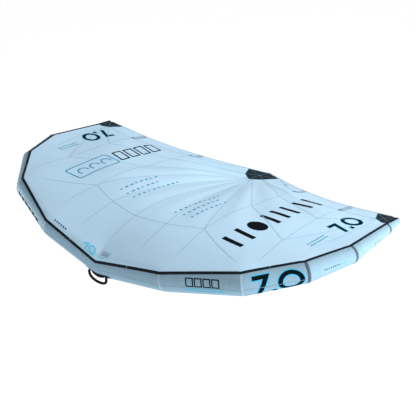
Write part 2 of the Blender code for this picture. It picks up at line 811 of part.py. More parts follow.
class Strut:
    """The inflated tube under the middle of the canopy."""

    def __init__(self, under):
        middle = under.shape[1] // 2
        line = under[WRAP_ROWS:, middle]
        slope = unit(np.gradient(line, axis=0))
        down = np.stack([np.zeros(len(line)), slope[:, 2], -slope[:, 1]], 1)
        rows = np.arange(len(CHORD_ROW_SHARES))
        self.radii = np.interp(
            rows,
            [STRUT_FIRST_ROW, STRUT_FULL_ROW, STRUT_TAPER_ROW, STRUT_LAST_ROW],
            [STRUT_FRONT_RADIUS, STRUT_BODY_RADIUS, STRUT_BODY_RADIUS, STRUT_TAIL_RADIUS],
        )
        drop = np.zeros(len(line))
        for place, share in enumerate(STRUT_DROP_SHARES):
            drop[STRUT_FIRST_ROW + place] = STRUT_FRONT_DROP * share
        self.roof = line - np.array([0.0, 0.0, 1.0]) * CLOTH_GAP
        self.axis = line + down * (CLOTH_GAP + self.radii)[:, None]
        self.axis[:, 2] -= drop
        self.along = unit(np.gradient(self.axis[STRUT_FIRST_ROW : STRUT_LAST_ROW + 1], axis=0))
        self.upward = np.stack([np.zeros(len(self.along)), -self.along[:, 2], self.along[:, 1]], 1)

    def ring(self, row, degrees, extra=0.0):
        """Points round the strut at a canopy row; 0 is its top and 90 its right side."""
        angle = np.radians(degrees)[..., None]
        place = row - STRUT_FIRST_ROW
        spoke = np.cos(angle) * self.upward[place] + np.sin(angle) * np.array([1.0, 0.0, 0.0])
        return self.axis[row] + (self.radii[row] + extra) * spoke

    def place(self, reach):
        """Row and share between rows at a distance behind the nose."""
        found = np.interp(reach, self.axis[:, 1], np.arange(len(self.axis)))
        row = min(int(found), STRUT_LAST_ROW - 1)
        return row, found - row

    def at(self, reach, degrees, extra=0.0):
        """Points round the strut at a distance behind the nose."""
        row, share = self.place(reach)
        near, far = self.ring(row, degrees, extra), self.ring(row + 1, degrees, extra)
        return near + (far - near) * share

    def facing(self, reach, degrees, half):
        """Outward direction of the casing over a small square at a place."""
        turn = np.degrees(half / STRUT_BODY_RADIUS)
        ahead = self.at(reach + half, degrees) - self.at(reach - half, degrees)
        around = self.at(reach, degrees + turn) - self.at(reach, degrees - turn)
        return unit(np.cross(ahead, around))[0]

    def saddle(self, degrees, extra, gap):
        """The front end carried on until it meets the leading edge."""
        near = self.ring(STRUT_FIRST_ROW, degrees, extra)
        ahead = unit(near - self.ring(STRUT_FIRST_ROW + 1, degrees, extra))
        low, high = np.zeros(len(near)), np.full(len(near), NOSE_RADIUS)
        for _ in range(40):
            guess = (low + high) / 2.0
            inside = tube_distance(near + ahead * guess[:, None]) < gap
            high, low = np.where(inside, guess, high), np.where(inside, low, guess)
        return near + ahead * low[:, None]

    def rings(self, first, last, degrees, extra, gap=SADDLE_GAP):
        """Rings from one row to another, with the saddle before the first row of all."""
        rows = [self.ring(row, degrees, extra) for row in range(first, last + 1)]
        if first == STRUT_FIRST_ROW:
            rows.insert(0, self.saddle(degrees, extra, gap))
        return np.array(rows)


def tube_distance(points):
    """Distance of points near the nose from the casing."""
    share = np.abs(points[:, 0]) / AXIS[1][0]
    start, end = AXIS[0], AXIS[1]
    middle = start[1:] + (end[1:] - start[1:]) * share[:, None]
    radius = JOINT_RADII[0] + (JOINT_RADII[1] - JOINT_RADII[0]) * share
    return np.linalg.norm(points[:, 1:] - middle, axis=1) - radius


STRUT_DEGREES = np.degrees(circle(STRUT_SIDES))
UNDER = np.array([180.0])


def build_strut(under):
    """Casing panels, bladder, collar, tail cap and the web up to the canopy."""
    strut = Strut(under)
    casings = {}
    for name, (first, last) in zip(("front", "middle", "rear"), STRUT_PANEL_ROWS):
        walls = []
        for extra in (0.0, -CASING_WALL):
            rings = strut.rings(first, last, STRUT_DEGREES, extra)
            length = np.linalg.norm(rings[-1, 0] - rings[-2, 0])
            rings[-1] += (rings[-2] - rings[-1]) * (TOUCH / length)
            walls.append(rings)
        casings[name] = add_piece(f"strut_panel_{name}", wall_solid(walls[0], walls[1], True), "casing")
    bladder = strut_bladder(strut)
    add_piece("strut_collar", collar(strut), "black_cloth")
    add_piece("strut_tail_cap", tail_cap(strut), "casing")
    add_piece("strut_web", web(strut), "canopy")
    return strut, casings, bladder


def strut_bladder(strut):
    """The air tube in the strut, with its front end just short of the leading edge."""
    rows = (STRUT_FIRST_ROW, STRUT_LAST_ROW, STRUT_DEGREES)
    skin, gap = -CASING_WALL - TOUCH, SADDLE_GAP + TOUCH
    outside = strut.rings(*rows, skin, gap)
    inside = strut.rings(*rows, skin - BLADDER_WALL, gap + BLADDER_WALL)
    length = np.linalg.norm(inside[-1, 0] - inside[-2, 0])
    outside[-1] += (outside[-2] - outside[-1]) * (TOUCH / length)
    inside[-1] += (inside[-2] - inside[-1]) * ((TOUCH + BLADDER_WALL) / length)
    bladder = add_piece("strut_bladder", closed_front(outside), "bladder")
    cut(bladder, add_cutter("strut_bladder_air", closed_front(inside)))
    return bladder


def closed_front(rings):
    """A solid through rings whose saddle shaped first ring closes to its own middle line."""
    rows, columns = rings.shape[:2]
    index = np.arange(rows * columns).reshape(rows, columns)
    faces = cell_faces(index, True) + [index[-1].tolist()]
    for step in range(columns // 2):
        low, high = step, columns - step
        ring = index[0]
        corners = [ring[low], ring[low + 1], ring[(high - 1) % columns], ring[high % columns]]
        faces.append(list(dict.fromkeys(int(corner) for corner in corners)))
    return rings.reshape(-1, 3), faces


def collar(strut):
    """A patch round the front end of the strut."""
    walls = []
    for extra in (TOUCH + COLLAR_THICKNESS, TOUCH):
        front = strut.saddle(STRUT_DEGREES, extra, SADDLE_GAP)
        near = strut.ring(STRUT_FIRST_ROW, STRUT_DEGREES, extra)
        far = strut.ring(STRUT_FIRST_ROW + 1, STRUT_DEGREES, extra)
        run = COLLAR_LENGTH / np.linalg.norm(far - near, axis=1, keepdims=True)
        walls.append(np.array([front, near, near + (far - near) * run]))
    return wall_solid(walls[0], walls[1], True)


def tail_cap(strut):
    """The closed rear end of the strut's casing."""
    rings = []
    middle = strut.axis[STRUT_LAST_ROW]
    spokes = strut.ring(STRUT_LAST_ROW, STRUT_DEGREES) - middle
    for angle in np.linspace(0.0, DOME_SHARE, DOME_RINGS) * math.pi / 2.0:
        reach = TAIL_CAP_LENGTH * math.sin(angle)
        rings.append(middle + spokes * math.cos(angle) + strut.along[-1] * reach)
    return tube_solid(np.array(rings))


def web(strut):
    """The thin upright cloth between the front of the strut and the canopy."""
    rows = range(STRUT_FIRST_ROW, STRUT_FIRST_ROW + len(STRUT_DROP_SHARES))
    stand = TOUCH + COLLAR_THICKNESS + TOUCH
    foot = [strut.ring(row, np.zeros(1), stand)[0] for row in rows]
    top = [strut.roof[row] for row in rows]
    outline = np.array(foot + top[::-1])
    x = np.array([1.0, 0.0, 0.0]) * WEB_THICKNESS / 2.0
    return tube_solid(np.stack([outline - x, outline + x]))


def strut_pad(strut, reach, length, half_angle, low, thickness):
    """A plate that follows the underside of the strut."""
    degrees = 180.0 + np.linspace(-half_angle, half_angle, 7)
    kinks = strut.axis[:, 1][np.abs(strut.axis[:, 1] - reach) < length / 2.0]
    rows, walls = [reach - length / 2.0, *kinks, reach + length / 2.0], []
    for extra in (low + thickness, low):
        walls.append(np.array([strut.at(row, degrees, extra) for row in rows]))
    return wall_solid(walls[0], walls[1], False)


# Hand grips


def corner_path(corners, radius, steps=5):
    """A path through corners, each rounded by an arc."""
    corners = np.asarray(corners, float)
    path = [corners[0]]
    for before, corner, after in zip(corners, corners[1:], corners[2:]):
        back, ahead = unit(before - corner), unit(after - corner)
        half = math.acos(float(np.clip(back.dot(ahead), -1.0, 1.0))) / 2.0
        start = corner + back * radius / math.tan(half)
        centre = corner + unit(back + ahead) * radius / math.sin(half)
        spoke = start - centre
        other = corner + ahead * radius / math.tan(half) - centre
        sweep = math.pi - 2.0 * half
        for step in range(steps + 1):
            part = step / steps
            mix = math.sin((1.0 - part) * sweep) * spoke + math.sin(part * sweep) * other
            path.append(centre + mix / math.sin(sweep))
    path.append(corners[-1])
    return np.array(path)


def grip_frame(strut, reach):
    """Middle of a grip's straight run, its direction and the way down, and the height of its legs."""
    half = GRIP_LEG_SPACING / 2.0
    stand = TOUCH + RAIL_THICKNESS + CLOTH_GAP
    fore, aft = strut.at(reach - half, UNDER, stand)[0], strut.at(reach + half, UNDER, stand)[0]
    run = unit(aft - fore)
    down = np.array([0.0, run[2], -run[1]])
    leg = GRIP_CLEARANCE + GRIP_SLEEVE_RADIUS
    return (fore + aft) / 2.0 + down * leg, run, down, leg, fore, aft


def seated(ring, foot, normal, down):
    """The end of a leg, slanted like the surface over it."""
    return ring - down * ((ring - foot) @ normal / down.dot(normal))[:, None]


def build_grip(strut, name, reach):
    """One rigid grip: bent bar, foam sleeve and the rail that holds it."""
    middle, run, down, leg, fore, aft = grip_frame(strut, reach)
    path = corner_path([fore, fore + down * leg, aft + down * leg, aft], GRIP_BEND_RADIUS)
    across = np.array([1.0, 0.0, 0.0])
    bar = swept(path, [GRIP_BAR_RADIUS] * len(path), GRIP_SIDES, across)
    for end, foot in ((0, fore), (-1, aft)):
        bar[end] = seated(bar[end], foot, strut.facing(foot[1], UNDER, GRIP_BAR_RADIUS), down)
    add_piece(f"{name}_grip_bar", tube_solid(bar), "carbon")
    ends = [middle - run * GRIP_SLEEVE_LENGTH / 2.0, middle + run * GRIP_SLEEVE_LENGTH / 2.0]
    outer = swept(ends, [GRIP_SLEEVE_RADIUS] * 2, GRIP_SIDES, across)
    inner = swept(ends, [GRIP_BAR_RADIUS + TOUCH] * 2, GRIP_SIDES, across)
    add_piece(f"{name}_grip_sleeve", wall_solid(outer, inner, True), "foam")
    rail = strut_pad(strut, reach, GRIP_LEG_SPACING + RAIL_OVERHANG, RAIL_ANGLE, TOUCH, RAIL_THICKNESS)
    add_piece(f"{name}_grip_rail", rail, "plastic")


# Nose handle


def nose_strip():
    """The black patch on the nose under the handle."""
    share = NOSE_PATCH_HALF_LENGTH / HALF_SPAN / LE_SPAN_SHARES[1]
    half = np.degrees(NOSE_PATCH_HALF_WIDTH / NOSE_RADIUS)
    degrees = NOSE_HANDLE_ANGLE + np.linspace(-half, half, 7)
    walls = []
    for extra in (CLOTH_GAP + NOSE_PATCH_THICKNESS, CLOTH_GAP):
        side = on_tube(0, share, degrees, extra)
        walls.append(np.array([mirrored(side, -1.0), joint_ring(0, degrees, extra), side]))
    return wall_solid(walls[0], walls[1], False)


def nose_handle_hinge():
    """Middle of the line that the nose handle swings on."""
    stand = CLOTH_GAP + NOSE_PATCH_THICKNESS + TOUCH + NOSE_HANDLE_RADIUS
    angle = np.asarray(NOSE_HANDLE_ANGLE)
    share = NOSE_HANDLE_HALF_WIDTH / joint_ring(1, angle, stand)[0]
    return on_tube(0, share, angle, stand) * np.array([0.0, 1.0, 1.0])


def build_nose_handle():
    """The patch and the loop sewn to it."""
    add_piece("nose_handle_patch", nose_strip(), "black_cloth")
    hinge = nose_handle_hinge()
    turn = np.linspace(0.0, math.pi, 25)
    across = -np.cos(turn) * NOSE_HANDLE_HALF_WIDTH
    depth = -(np.sin(turn) ** NOSE_HANDLE_FULLNESS) * NOSE_HANDLE_DEPTH
    path = hinge + np.stack([across, np.zeros(len(turn)), depth], 1)
    bend = np.linspace(DOME_SHARE, 0.0, DOME_RINGS)[:-1] * math.pi / 2.0
    ends = []
    for end, inner in ((path[0], path[1]), (path[-1], path[-2])):
        ends.append(end + unit(end - inner) * NOSE_HANDLE_RADIUS * np.sin(bend)[:, None])
    path = np.concatenate([ends[0], path, ends[1][::-1]])
    domes = NOSE_HANDLE_RADIUS * np.cos(bend)
    radii = np.concatenate([domes, np.full(len(turn), NOSE_HANDLE_RADIUS), domes[::-1]])
    loop = swept(path, radii, NOSE_HANDLE_SIDES, (0.0, 1.0, 0.0))
    add_piece("nose_handle_loop", tube_solid(loop), "webbing", hinge)


# Leash loop


def teardrop(eye, half_width, length, steps=9):
    """Outline of a hanging loop: a small round eye on top and a wide round foot."""
    lean = math.asin((half_width - eye) / (length - half_width))
    top = np.linspace(lean, math.pi - lean, steps)
    foot = np.linspace(math.pi - lean, 2.0 * math.pi + lean, 2 * steps)
    upper = np.stack([np.cos(top) * eye, np.sin(top) * eye], 1)
    lower = np.stack([np.cos(foot) * half_width, np.sin(foot) * half_width - (length - half_width)], 1)
    return np.concatenate([upper, lower])


def build_leash_loop(strut):
    """Patch, staple and the webbing loop that hangs on it."""
    rail_front = FRONT_GRIP_REACH - (GRIP_LEG_SPACING + RAIL_OVERHANG) / 2.0
    reach = rail_front - LEASH_RAIL_GAP - LEASH_PATCH_LENGTH / 2.0
    pad = strut_pad(strut, reach, LEASH_PATCH_LENGTH, LEASH_PATCH_ANGLE, TOUCH, LEASH_PATCH_THICKNESS)
    add_piece("leash_patch", pad, "black_cloth")
    stand = TOUCH + LEASH_PATCH_THICKNESS + TOUCH
    down = np.array([0.0, 0.0, -1.0])
    pin = strut.at(reach, UNDER, stand)[0] + down * STAPLE_DROP
    out = np.array([STAPLE_HALF_WIDTH, 0.0, 0.0])
    lean = np.degrees(math.asin(STAPLE_HALF_WIDTH / (STRUT_BODY_RADIUS + stand)))
    places = (UNDER + lean, UNDER - lean)
    feet = [strut.at(reach, place, stand)[0] for place in places]
    path = corner_path([feet[0], pin - out, pin + out, feet[1]], 2.0 * STAPLE_RADIUS, 3)
    staple = swept(path, [STAPLE_RADIUS] * len(path), STAPLE_SIDES, (0.0, 1.0, 0.0))
    for end, foot, place in zip((0, -1), feet, places):
        staple[end] = seated(staple[end], foot, strut.facing(reach, place, STAPLE_RADIUS), down)
    add_piece("leash_staple", tube_solid(staple), "steel")
    eye = STAPLE_RADIUS + TOUCH
    thick = WEBBING_THICKNESS
    inner = teardrop(eye, LEASH_LOOP_HALF_WIDTH - thick, LEASH_LOOP_LENGTH - thick)
    outer = teardrop(eye + thick, LEASH_LOOP_HALF_WIDTH, LEASH_LOOP_LENGTH)
    half = np.array([WEBBING_WIDTH / 2.0, 0.0, 0.0])
    walls = []
    for outline in (outer, inner):
        flat = pin + np.column_stack([np.zeros(len(outline)), outline])
        walls.append(np.stack([flat - half, flat + half]))
    add_piece("leash_loop", wall_solid(walls[0], walls[1], True), "webbing", pin)


# Valve


def build_valve(panels, bladder):
    """Housing, turning plug and one way flap, and the holes they need."""
    frame = tube_frame(0, VALVE_PANEL_SHARE, VALVE_ANGLE)
    hole = [(VALVE_RADIUS + VALVE_CLEARANCE, -CUT_OVERRUN), (VALVE_RADIUS + VALVE_CLEARANCE, CUT_OVERRUN)]
    cutter = add_cutter("valve_hole", placed(tube_solid(turned(hole, VALVE_SIDES)), frame))
    cut(panels["le_panel_right_1"], cutter)
    cut(bladder, cutter)
    low = PATCH_GAP
    high = low + VALVE_FLANGE_THICKNESS
    housing = [
        (VALVE_BORE, -VALVE_NECK_DEPTH),
        (VALVE_RADIUS, -VALVE_NECK_DEPTH),
        (VALVE_RADIUS, low),
        (VALVE_FLANGE_RADIUS, low),
        (VALVE_FLANGE_RADIUS, high),
        (VALVE_RADIUS, high),
        (VALVE_RADIUS, VALVE_HEIGHT),
        (VALVE_BORE, VALVE_HEIGHT),
    ]
    add_piece("valve_housing", placed(hoop_solid(turned(housing, VALVE_SIDES)), frame), "plastic")
    stem = VALVE_BORE - VALVE_CLEARANCE
    seat = VALVE_HEIGHT + TOUCH
    top = seat + PLUG_HEAD_HEIGHT
    plug = [(stem, VALVE_HEIGHT - PLUG_DEPTH), (stem, seat), (PLUG_HEAD_RADIUS, seat)]
    plug += [(PLUG_HEAD_RADIUS, top), (PLUG_HEAD_RADIUS * PLUG_TOP_SHARE, top)]
    lobes = (0.0, 0.0, PLUG_LOBE_SHARE, PLUG_LOBE_SHARE, 0.0)
    head = frame[0] + frame[3] * seat
    solid = placed(tube_solid(turned(plug, VALVE_SIDES, lobes)), frame)
    add_piece("valve_plug", solid, "plastic", head)
    shut = -VALVE_NECK_DEPTH - TOUCH
    leaf = [(VALVE_RADIUS, shut - FLAP_THICKNESS), (VALVE_RADIUS, shut)]
    pivot = frame[0] - frame[2] * VALVE_RADIUS + frame[3] * shut
    add_piece("valve_flap", placed(tube_solid(turned(leaf, VALVE_SIDES)), frame), "silicone", pivot)


# Air hose and its clip


def barb(frame):
    """A hose tail on a flange that sits on a tube, and the height of its flange."""
    low, high = SADDLE_GAP, SADDLE_GAP + BARB_FLANGE_THICKNESS
    tip = high + BARB_STEM_LENGTH
    profile = [(BARB_BORE, -BARB_DEPTH), (BARB_STEM_RADIUS, -BARB_DEPTH), (BARB_STEM_RADIUS, low)]
    profile += [(BARB_FLANGE_RADIUS, low), (BARB_FLANGE_RADIUS, high), (BARB_STEM_RADIUS, high)]
    profile += [(BARB_STEM_RADIUS, tip), (BARB_BORE, tip)]
    return placed(hoop_solid(turned(profile, HOSE_SIDES * 2)), frame), high


def hose_path(start, start_way, end, end_way):
    """Straight over both barbs, with a smooth curve between them: the cubic with two handles."""
    straight = BARB_STEM_LENGTH + CLOTH_GAP
    begin, stop = start + start_way * straight, end + end_way * straight
    first, second = begin + start_way * HOSE_CURVE_REACH, stop + end_way * HOSE_CURVE_REACH
    share = np.linspace(0.0, 1.0, HOSE_POINTS)[:, None]
    back = 1.0 - share
    curve = back**3 * begin + 3 * back**2 * share * first + 3 * back * share**2 * second + share**3 * stop
    return np.concatenate([[start], curve, [end]])


def build_hose(panels, bladder, casings, strut_air, strut):
    """Barbs, hose and pinch clip between the leading edge and the strut."""
    near = tube_frame(0, HOSE_PANEL_SHARE, HOSE_ANGLE)
    foot = strut.at(HOSE_STRUT_REACH, np.array([HOSE_STRUT_ANGLE]))[0]
    far = (foot, np.array([0.0, 1.0, 0.0]), np.array([0.0, 0.0, 1.0]), np.array([1.0, 0.0, 0.0]))
    hole = [(BARB_RADIUS, -CUT_OVERRUN), (BARB_RADIUS, CUT_OVERRUN)]
    drill, holes = tube_solid(turned(hole, HOSE_SIDES * 2)), []
    for name, frame in (("le", near), ("strut", far)):
        solid, high = barb(frame)
        add_piece(f"hose_barb_{name}", solid, "plastic")
        holes.append(add_cutter(f"hose_hole_{name}", placed(drill, frame)))
    cut(panels["le_panel_right_1"], holes[0])
    cut(bladder, holes[0])
    cut(casings["front"], holes[1])
    cut(strut_air, holes[1])
    start, end = near[0] + near[3] * (high + TOUCH), far[0] + far[3] * (high + TOUCH)
    path = hose_path(start, near[3], end, far[3])
    outer = swept(path, [HOSE_RADIUS] * len(path), HOSE_SIDES, near[1])
    inner = swept(path, [HOSE_BORE] * len(path), HOSE_SIDES, near[1])
    add_piece("link_hose", wall_solid(outer, inner, True), "hose")
    middle = len(path) // 2
    build_clip(path[middle], unit(path[middle + 1] - path[middle - 1]))


def build_clip(middle, along):
    """Pinch clip: a channel round the hose and a lever over it."""
    upward = unit(np.array([0.0, 0.0, 1.0]) - along[2] * along)
    across = np.cross(along, upward)
    inner = HOSE_RADIUS + CLIP_SIDE_GAP
    outer = inner + CLIP_WALL
    rim = HOSE_RADIUS + CLIP_CHEEK_RISE
    channel = [(-outer, -outer), (outer, -outer), (outer, rim), (inner, rim)]
    channel += [(inner, -inner), (-inner, -inner), (-inner, rim), (-outer, rim)]
    add_piece("pinch_clip_channel", prism(channel, middle, across, upward, along, CLIP_LENGTH), "plastic")
    hinge_high = HOSE_RADIUS + CLIP_SIDE_GAP + BARREL_RADIUS
    hinge = middle + upward * hinge_high - along * (CLIP_LENGTH / 2.0 - BARREL_RADIUS)
    turn = np.linspace(0.5, 1.5, 9) * math.pi
    barrel = [(math.cos(angle) * BARREL_RADIUS, math.sin(angle) * BARREL_RADIUS) for angle in turn]
    reach = CLIP_LENGTH + LEVER_TAB
    plate = [(reach, -BARREL_RADIUS), (reach, LEVER_THICKNESS - BARREL_RADIUS)]
    plate += [(BARREL_RADIUS, BARREL_RADIUS)]
    width = 2.0 * (inner - LEVER_SIDE_GAP)
    lever = prism(barrel + plate, hinge, along, upward, across, width)
    add_piece("pinch_clip_lever", lever, "plastic", hinge)


def build_wing():
    """Every piece, then the empty that puts the origin in the front grip."""
    panels, bladder = build_leading_edge()
    canopy, under, over = build_canopy()
    build_patches(over)
    top = top_of(canopy)
    build_battens(top, under)
    strut, casings, strut_air = build_strut(under)
    build_grip(strut, "front", FRONT_GRIP_REACH)
    build_grip(strut, "rear", REAR_GRIP_REACH)
    build_nose_handle()
    build_leash_loop(strut)
    build_valve(panels, bladder)
    build_hose(panels, bladder, casings, strut_air, strut)
    layout = bpy.data.objects.new("wing_layout", None)
    bpy.context.scene.collection.objects.link(layout)
    layout.location = -Vector(grip_frame(strut, FRONT_GRIP_REACH)[0])
    for piece in list(bpy.context.scene.collection.objects):
        if piece is not layout:
            piece.parent = layout


build_wing()
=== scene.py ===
"""Looks of an inflatable wingfoil wing: its cloth, tubes, trim, hand grips, valve and air hose.

Lengths are in metres and angles in degrees. Shapes are laid out from the nose, the middle of the seam
between canopy and leading edge, with +X to the right wing tip, +Y to the trailing edge and +Z up.
Every finished mesh is then shifted by WingPlan.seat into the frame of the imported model.
"""

import logging
import math
from dataclasses import dataclass
from enum import Enum
from typing import Protocol, Sequence

import bpy
import numpy as np
from mathutils import Matrix, Vector
from mathutils.geometry import tessellate_polygon


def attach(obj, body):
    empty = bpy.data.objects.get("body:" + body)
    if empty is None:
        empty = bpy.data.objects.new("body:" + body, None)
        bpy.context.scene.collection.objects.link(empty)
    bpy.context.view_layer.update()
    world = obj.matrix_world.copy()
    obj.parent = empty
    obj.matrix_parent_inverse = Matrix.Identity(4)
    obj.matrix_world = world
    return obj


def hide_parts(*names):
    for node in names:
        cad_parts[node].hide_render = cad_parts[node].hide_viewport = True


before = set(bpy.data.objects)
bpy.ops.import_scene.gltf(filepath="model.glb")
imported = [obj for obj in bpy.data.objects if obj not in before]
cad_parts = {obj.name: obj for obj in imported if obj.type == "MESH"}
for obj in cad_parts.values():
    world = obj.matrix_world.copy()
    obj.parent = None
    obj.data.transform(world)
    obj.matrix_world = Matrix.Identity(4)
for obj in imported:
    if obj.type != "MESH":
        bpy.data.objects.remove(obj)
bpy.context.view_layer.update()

LOG = logging.getLogger("wing")
Array = np.ndarray
Colour = tuple[float, float, float]
Place = tuple[float, float]
Socket = bpy.types.NodeSocket

X, Y, Z = np.eye(3)
SIDES = ((1.0, "right"), (-1.0, "left"))
HAIR = 0.0001
"""The least that one thin piece stands off another."""


# Small tools for arrays


def unit(vectors: Array) -> Array:
    """Vectors brought to length one."""
    vectors = np.asarray(vectors, float)
    return vectors / np.linalg.norm(vectors, axis=-1, keepdims=True)


def ease(value: Array, low: float, high: float) -> Array:
    """Smooth step from 0 at low to 1 at high: share squared times three less two shares."""
    share = np.clip((np.asarray(value, float) - low) / (high - low), 0.0, 1.0)
    return share * share * (3.0 - 2.0 * share)


def turn_degrees(sides: int) -> Array:
    """Degrees of an evenly divided circle."""
    return np.arange(sides) * 360.0 / sides


def circle(sides: int) -> tuple[Array, Array]:
    """Cosine and sine round an evenly divided circle."""
    turn = np.radians(turn_degrees(sides))
    return np.cos(turn), np.sin(turn)


def run_of(points: Array) -> Array:
    """Length of a line of points from its start to each of them."""
    return np.concatenate([[0.0], np.cumsum(np.linalg.norm(np.diff(points, axis=0), axis=1))])


def natural_curve(knots: Array, values: Array, wanted: Array) -> Array:
    """Natural cubic curve through the knots.

    Args:
        knots: places of the knots, rising.
        values: values at the knots.
        wanted: places to work out.

    Returns:
        The values at the wanted places.
    """
    x, y = np.asarray(knots, float), np.asarray(values, float)
    step, size = np.diff(x), len(x)
    system, right = np.eye(size), np.zeros(size)
    inner = np.arange(1, size - 1)
    system[inner, inner - 1] = step[:-1]
    system[inner, inner] = 2.0 * (step[:-1] + step[1:])
    system[inner, inner + 1] = step[1:]
    right[inner] = 6.0 * np.diff(np.diff(y) / step)
    bend = np.linalg.solve(system, right)
    wanted = np.asarray(wanted, float)
    cell = np.clip(np.searchsorted(x, wanted) - 1, 0, size - 2)
    before, after, width = wanted - x[cell], x[cell + 1] - wanted, step[cell]
    return (
        (bend[cell] * after**3 + bend[cell + 1] * before**3) / (6.0 * width)
        + (y[cell] / width - bend[cell] * width / 6.0) * after
        + (y[cell + 1] / width - bend[cell + 1] * width / 6.0) * before
    )


def smooth_line(points: Sequence[Sequence[float]], step: float) -> Array:
    """Smooth curve through a few points, by cubic curves over the length of their chords.

    Args:
        points: the points, in any number of dimensions.
        step: about how far apart the samples lie.

    Returns:
        The samples, one a row.
    """
    points = np.asarray(points, float)
    reach = run_of(points)
    wanted = np.linspace(0.0, reach[-1], max(3, int(reach[-1] / step) + 2))
    return np.stack([natural_curve(reach, axis, wanted) for axis in points.T], 1)


def straight_line(points: Sequence[Sequence[float]], step: float) -> Array:
    """Samples of a line with straight legs, with every corner kept.

    Args:
        points: the corners.
        step: about how far apart the samples lie.

    Returns:
        The samples, one a row.
    """
    points = np.asarray(points, float)
    reach = run_of(points)
    even = np.linspace(0.0, reach[-1], max(2, int(reach[-1] / step) + 1))
    wanted = np.unique(np.concatenate([reach, even]))
    return np.stack([np.interp(wanted, reach, axis) for axis in points.T], 1)


def rounded_outline(corners: Sequence[Place], radius: float, samples: int = 6, step: float = 0.012) -> Array:
    """A closed outline with every corner cut by a curve of two handles.

    Args:
        corners: corners in order.
        radius: how far from a corner its curve starts, at most a third of the side.
        samples: points on each curve.
        step: about how far apart the points on the straight sides lie.

    Returns:
        Points of the outline, one a row, not closed.
    """
    corners = np.asarray(corners, float)
    cuts = []
    for way in (1, -1):
        side = np.roll(corners, way, axis=0) - corners
        cuts.append(corners + side * np.minimum(radius / np.linalg.norm(side, axis=1), 0.33)[:, None])
    share = np.linspace(0.0, 1.0, samples)[None, :, None]
    curve = (1 - share) ** 2 * cuts[0][:, None] + 2 * share * (1 - share) * corners[:, None]
    curve = curve + share**2 * cuts[1][:, None]
    pieces = []
    for arc, end in zip(curve, np.roll(curve[:, 0], -1, axis=0)):
        count = max(1, int(np.linalg.norm(end - arc[-1]) / step))
        pieces += [arc, arc[-1] + (end - arc[-1]) * np.linspace(0.0, 1.0, count + 1)[1:-1, None]]
    return np.concatenate(pieces)


def soft_box(half: Place, radius: float, samples: int, step: float, size: Place, middle: Place) -> Array:
    """A rounded rectangle on a skin, rounded in metres and given in the skin's own two numbers.

    Args:
        half: half its length and half its width, in the skin's numbers.
        radius: how far from a corner its curve starts.
        samples: points on each curve.
        step: about how far apart the points on the straight sides lie.
        size: metres for one unit of each number.
        middle: its middle.

    Returns:
        Points of the outline, one a row, not closed.
    """
    ways = np.array([(-1.0, -1.0), (1.0, -1.0), (1.0, 1.0), (-1.0, 1.0)])
    return rounded_outline(ways * half * size, radius, samples, step) / size + np.array(middle)


# Closed skins

Part = tuple[Array, Array]
"""Faces, and the texture places of their corners."""


@dataclass
class Shell:
    """A closed skin of triangles.

    Attributes:
        points: the points, one a row.
        faces: point numbers of each triangle.
        corners: texture places of each triangle's corners, in metres.
    """

    points: Array
    faces: Array
    corners: Array

    @staticmethod
    def of(points: Array, parts: Sequence[Part]) -> "Shell":
        """A skin made of parts, facing out: turned round where its signed volume is below zero.

        Args:
            points: the points, in rows of any shape.
            parts: the parts, all turned the same way.

        Returns:
            The skin.
        """
        points = points.reshape(-1, 3)
        faces, corners = (np.concatenate(group) for group in zip(*parts))
        a, b, c = (points[faces[:, corner]] for corner in range(3))
        if np.einsum("ij,ij->", a, np.cross(b, c)) < 0.0:
            faces, corners = faces[:, ::-1], corners[:, ::-1]
        return Shell(points, faces, corners)

    def on_side(self, side: float) -> "Shell":
        """The skin on the right for 1, or its mirror image on the left for -1."""
        return Shell.of(self.points * (side, 1.0, 1.0), [(self.faces, self.corners)])


def join(shells: Sequence[Shell]) -> Shell:
    """Several skins as one.

    Args:
        shells: the skins.

    Returns:
        One skin with all their faces.
    """
    start = np.cumsum([0] + [len(shell.points) for shell in shells[:-1]])
    return Shell(
        np.concatenate([shell.points for shell in shells]),
        np.concatenate([shell.faces + first for shell, first in zip(shells, start)]),
        np.concatenate([shell.corners for shell in shells]),
    )


def cells(index: Array, places: Array, closed: bool = False, way: int = 1) -> Part:
    """Two triangles for each cell of a grid.

    Args:
        index: point numbers, rows by columns.
        places: texture places, with one column more where the grid is closed.
        closed: whether the last column joins the first.
        way: -1 turns the triangles round.

    Returns:
        Faces and their corners' texture places.
    """
    if closed:
        index = np.concatenate([index, index[:, :1]], axis=1)
    made = []
    for grid in (index, places):
        a, b, c, d = grid[:-1, :-1], grid[:-1, 1:], grid[1:, 1:], grid[1:, :-1]
        both = [np.stack(corners, 2).reshape(-1, 3, *grid.shape[2:]) for corners in ((a, b, c), (a, c, d))]
        made.append(np.concatenate(both)[:, ::way])
    return made[0], made[1]


def rim(first: Array, second: Array, places: Array, closed: bool = False) -> Part:
    """The band between two rows of point numbers that share their texture places."""
    return cells(np.stack([first, second]), np.stack([places, places]), closed)


def numbers(rows: int, columns: int) -> Array:
    """Point numbers of a grid."""
    return np.arange(rows * columns).reshape(rows, columns)


def wall(near: Array, far: Array, places: Array, closed: bool = False) -> Shell:
    """The closed wall between two grids of points, with rims round its edges.

    Args:
        near: one skin, rows by columns.
        far: the other skin, of the same shape.
        places: texture places, with one column more where the grid is closed.
        closed: whether the last column joins the first.

    Returns:
        The wall, facing out.
    """
    top = numbers(*near.shape[:2])
    low = top + top.size
    parts = [
        cells(top, places, closed),
        cells(low, places, closed, -1),
        rim(low[0], top[0], places[0], closed),
        rim(top[-1], low[-1], places[-1], closed),
    ]
    if not closed:
        parts += [rim(top[:, 0], low[:, 0], places[:, 0]), rim(low[:, -1], top[:, -1], places[:, -1])]
    return Shell.of(np.stack([near, far]), parts)


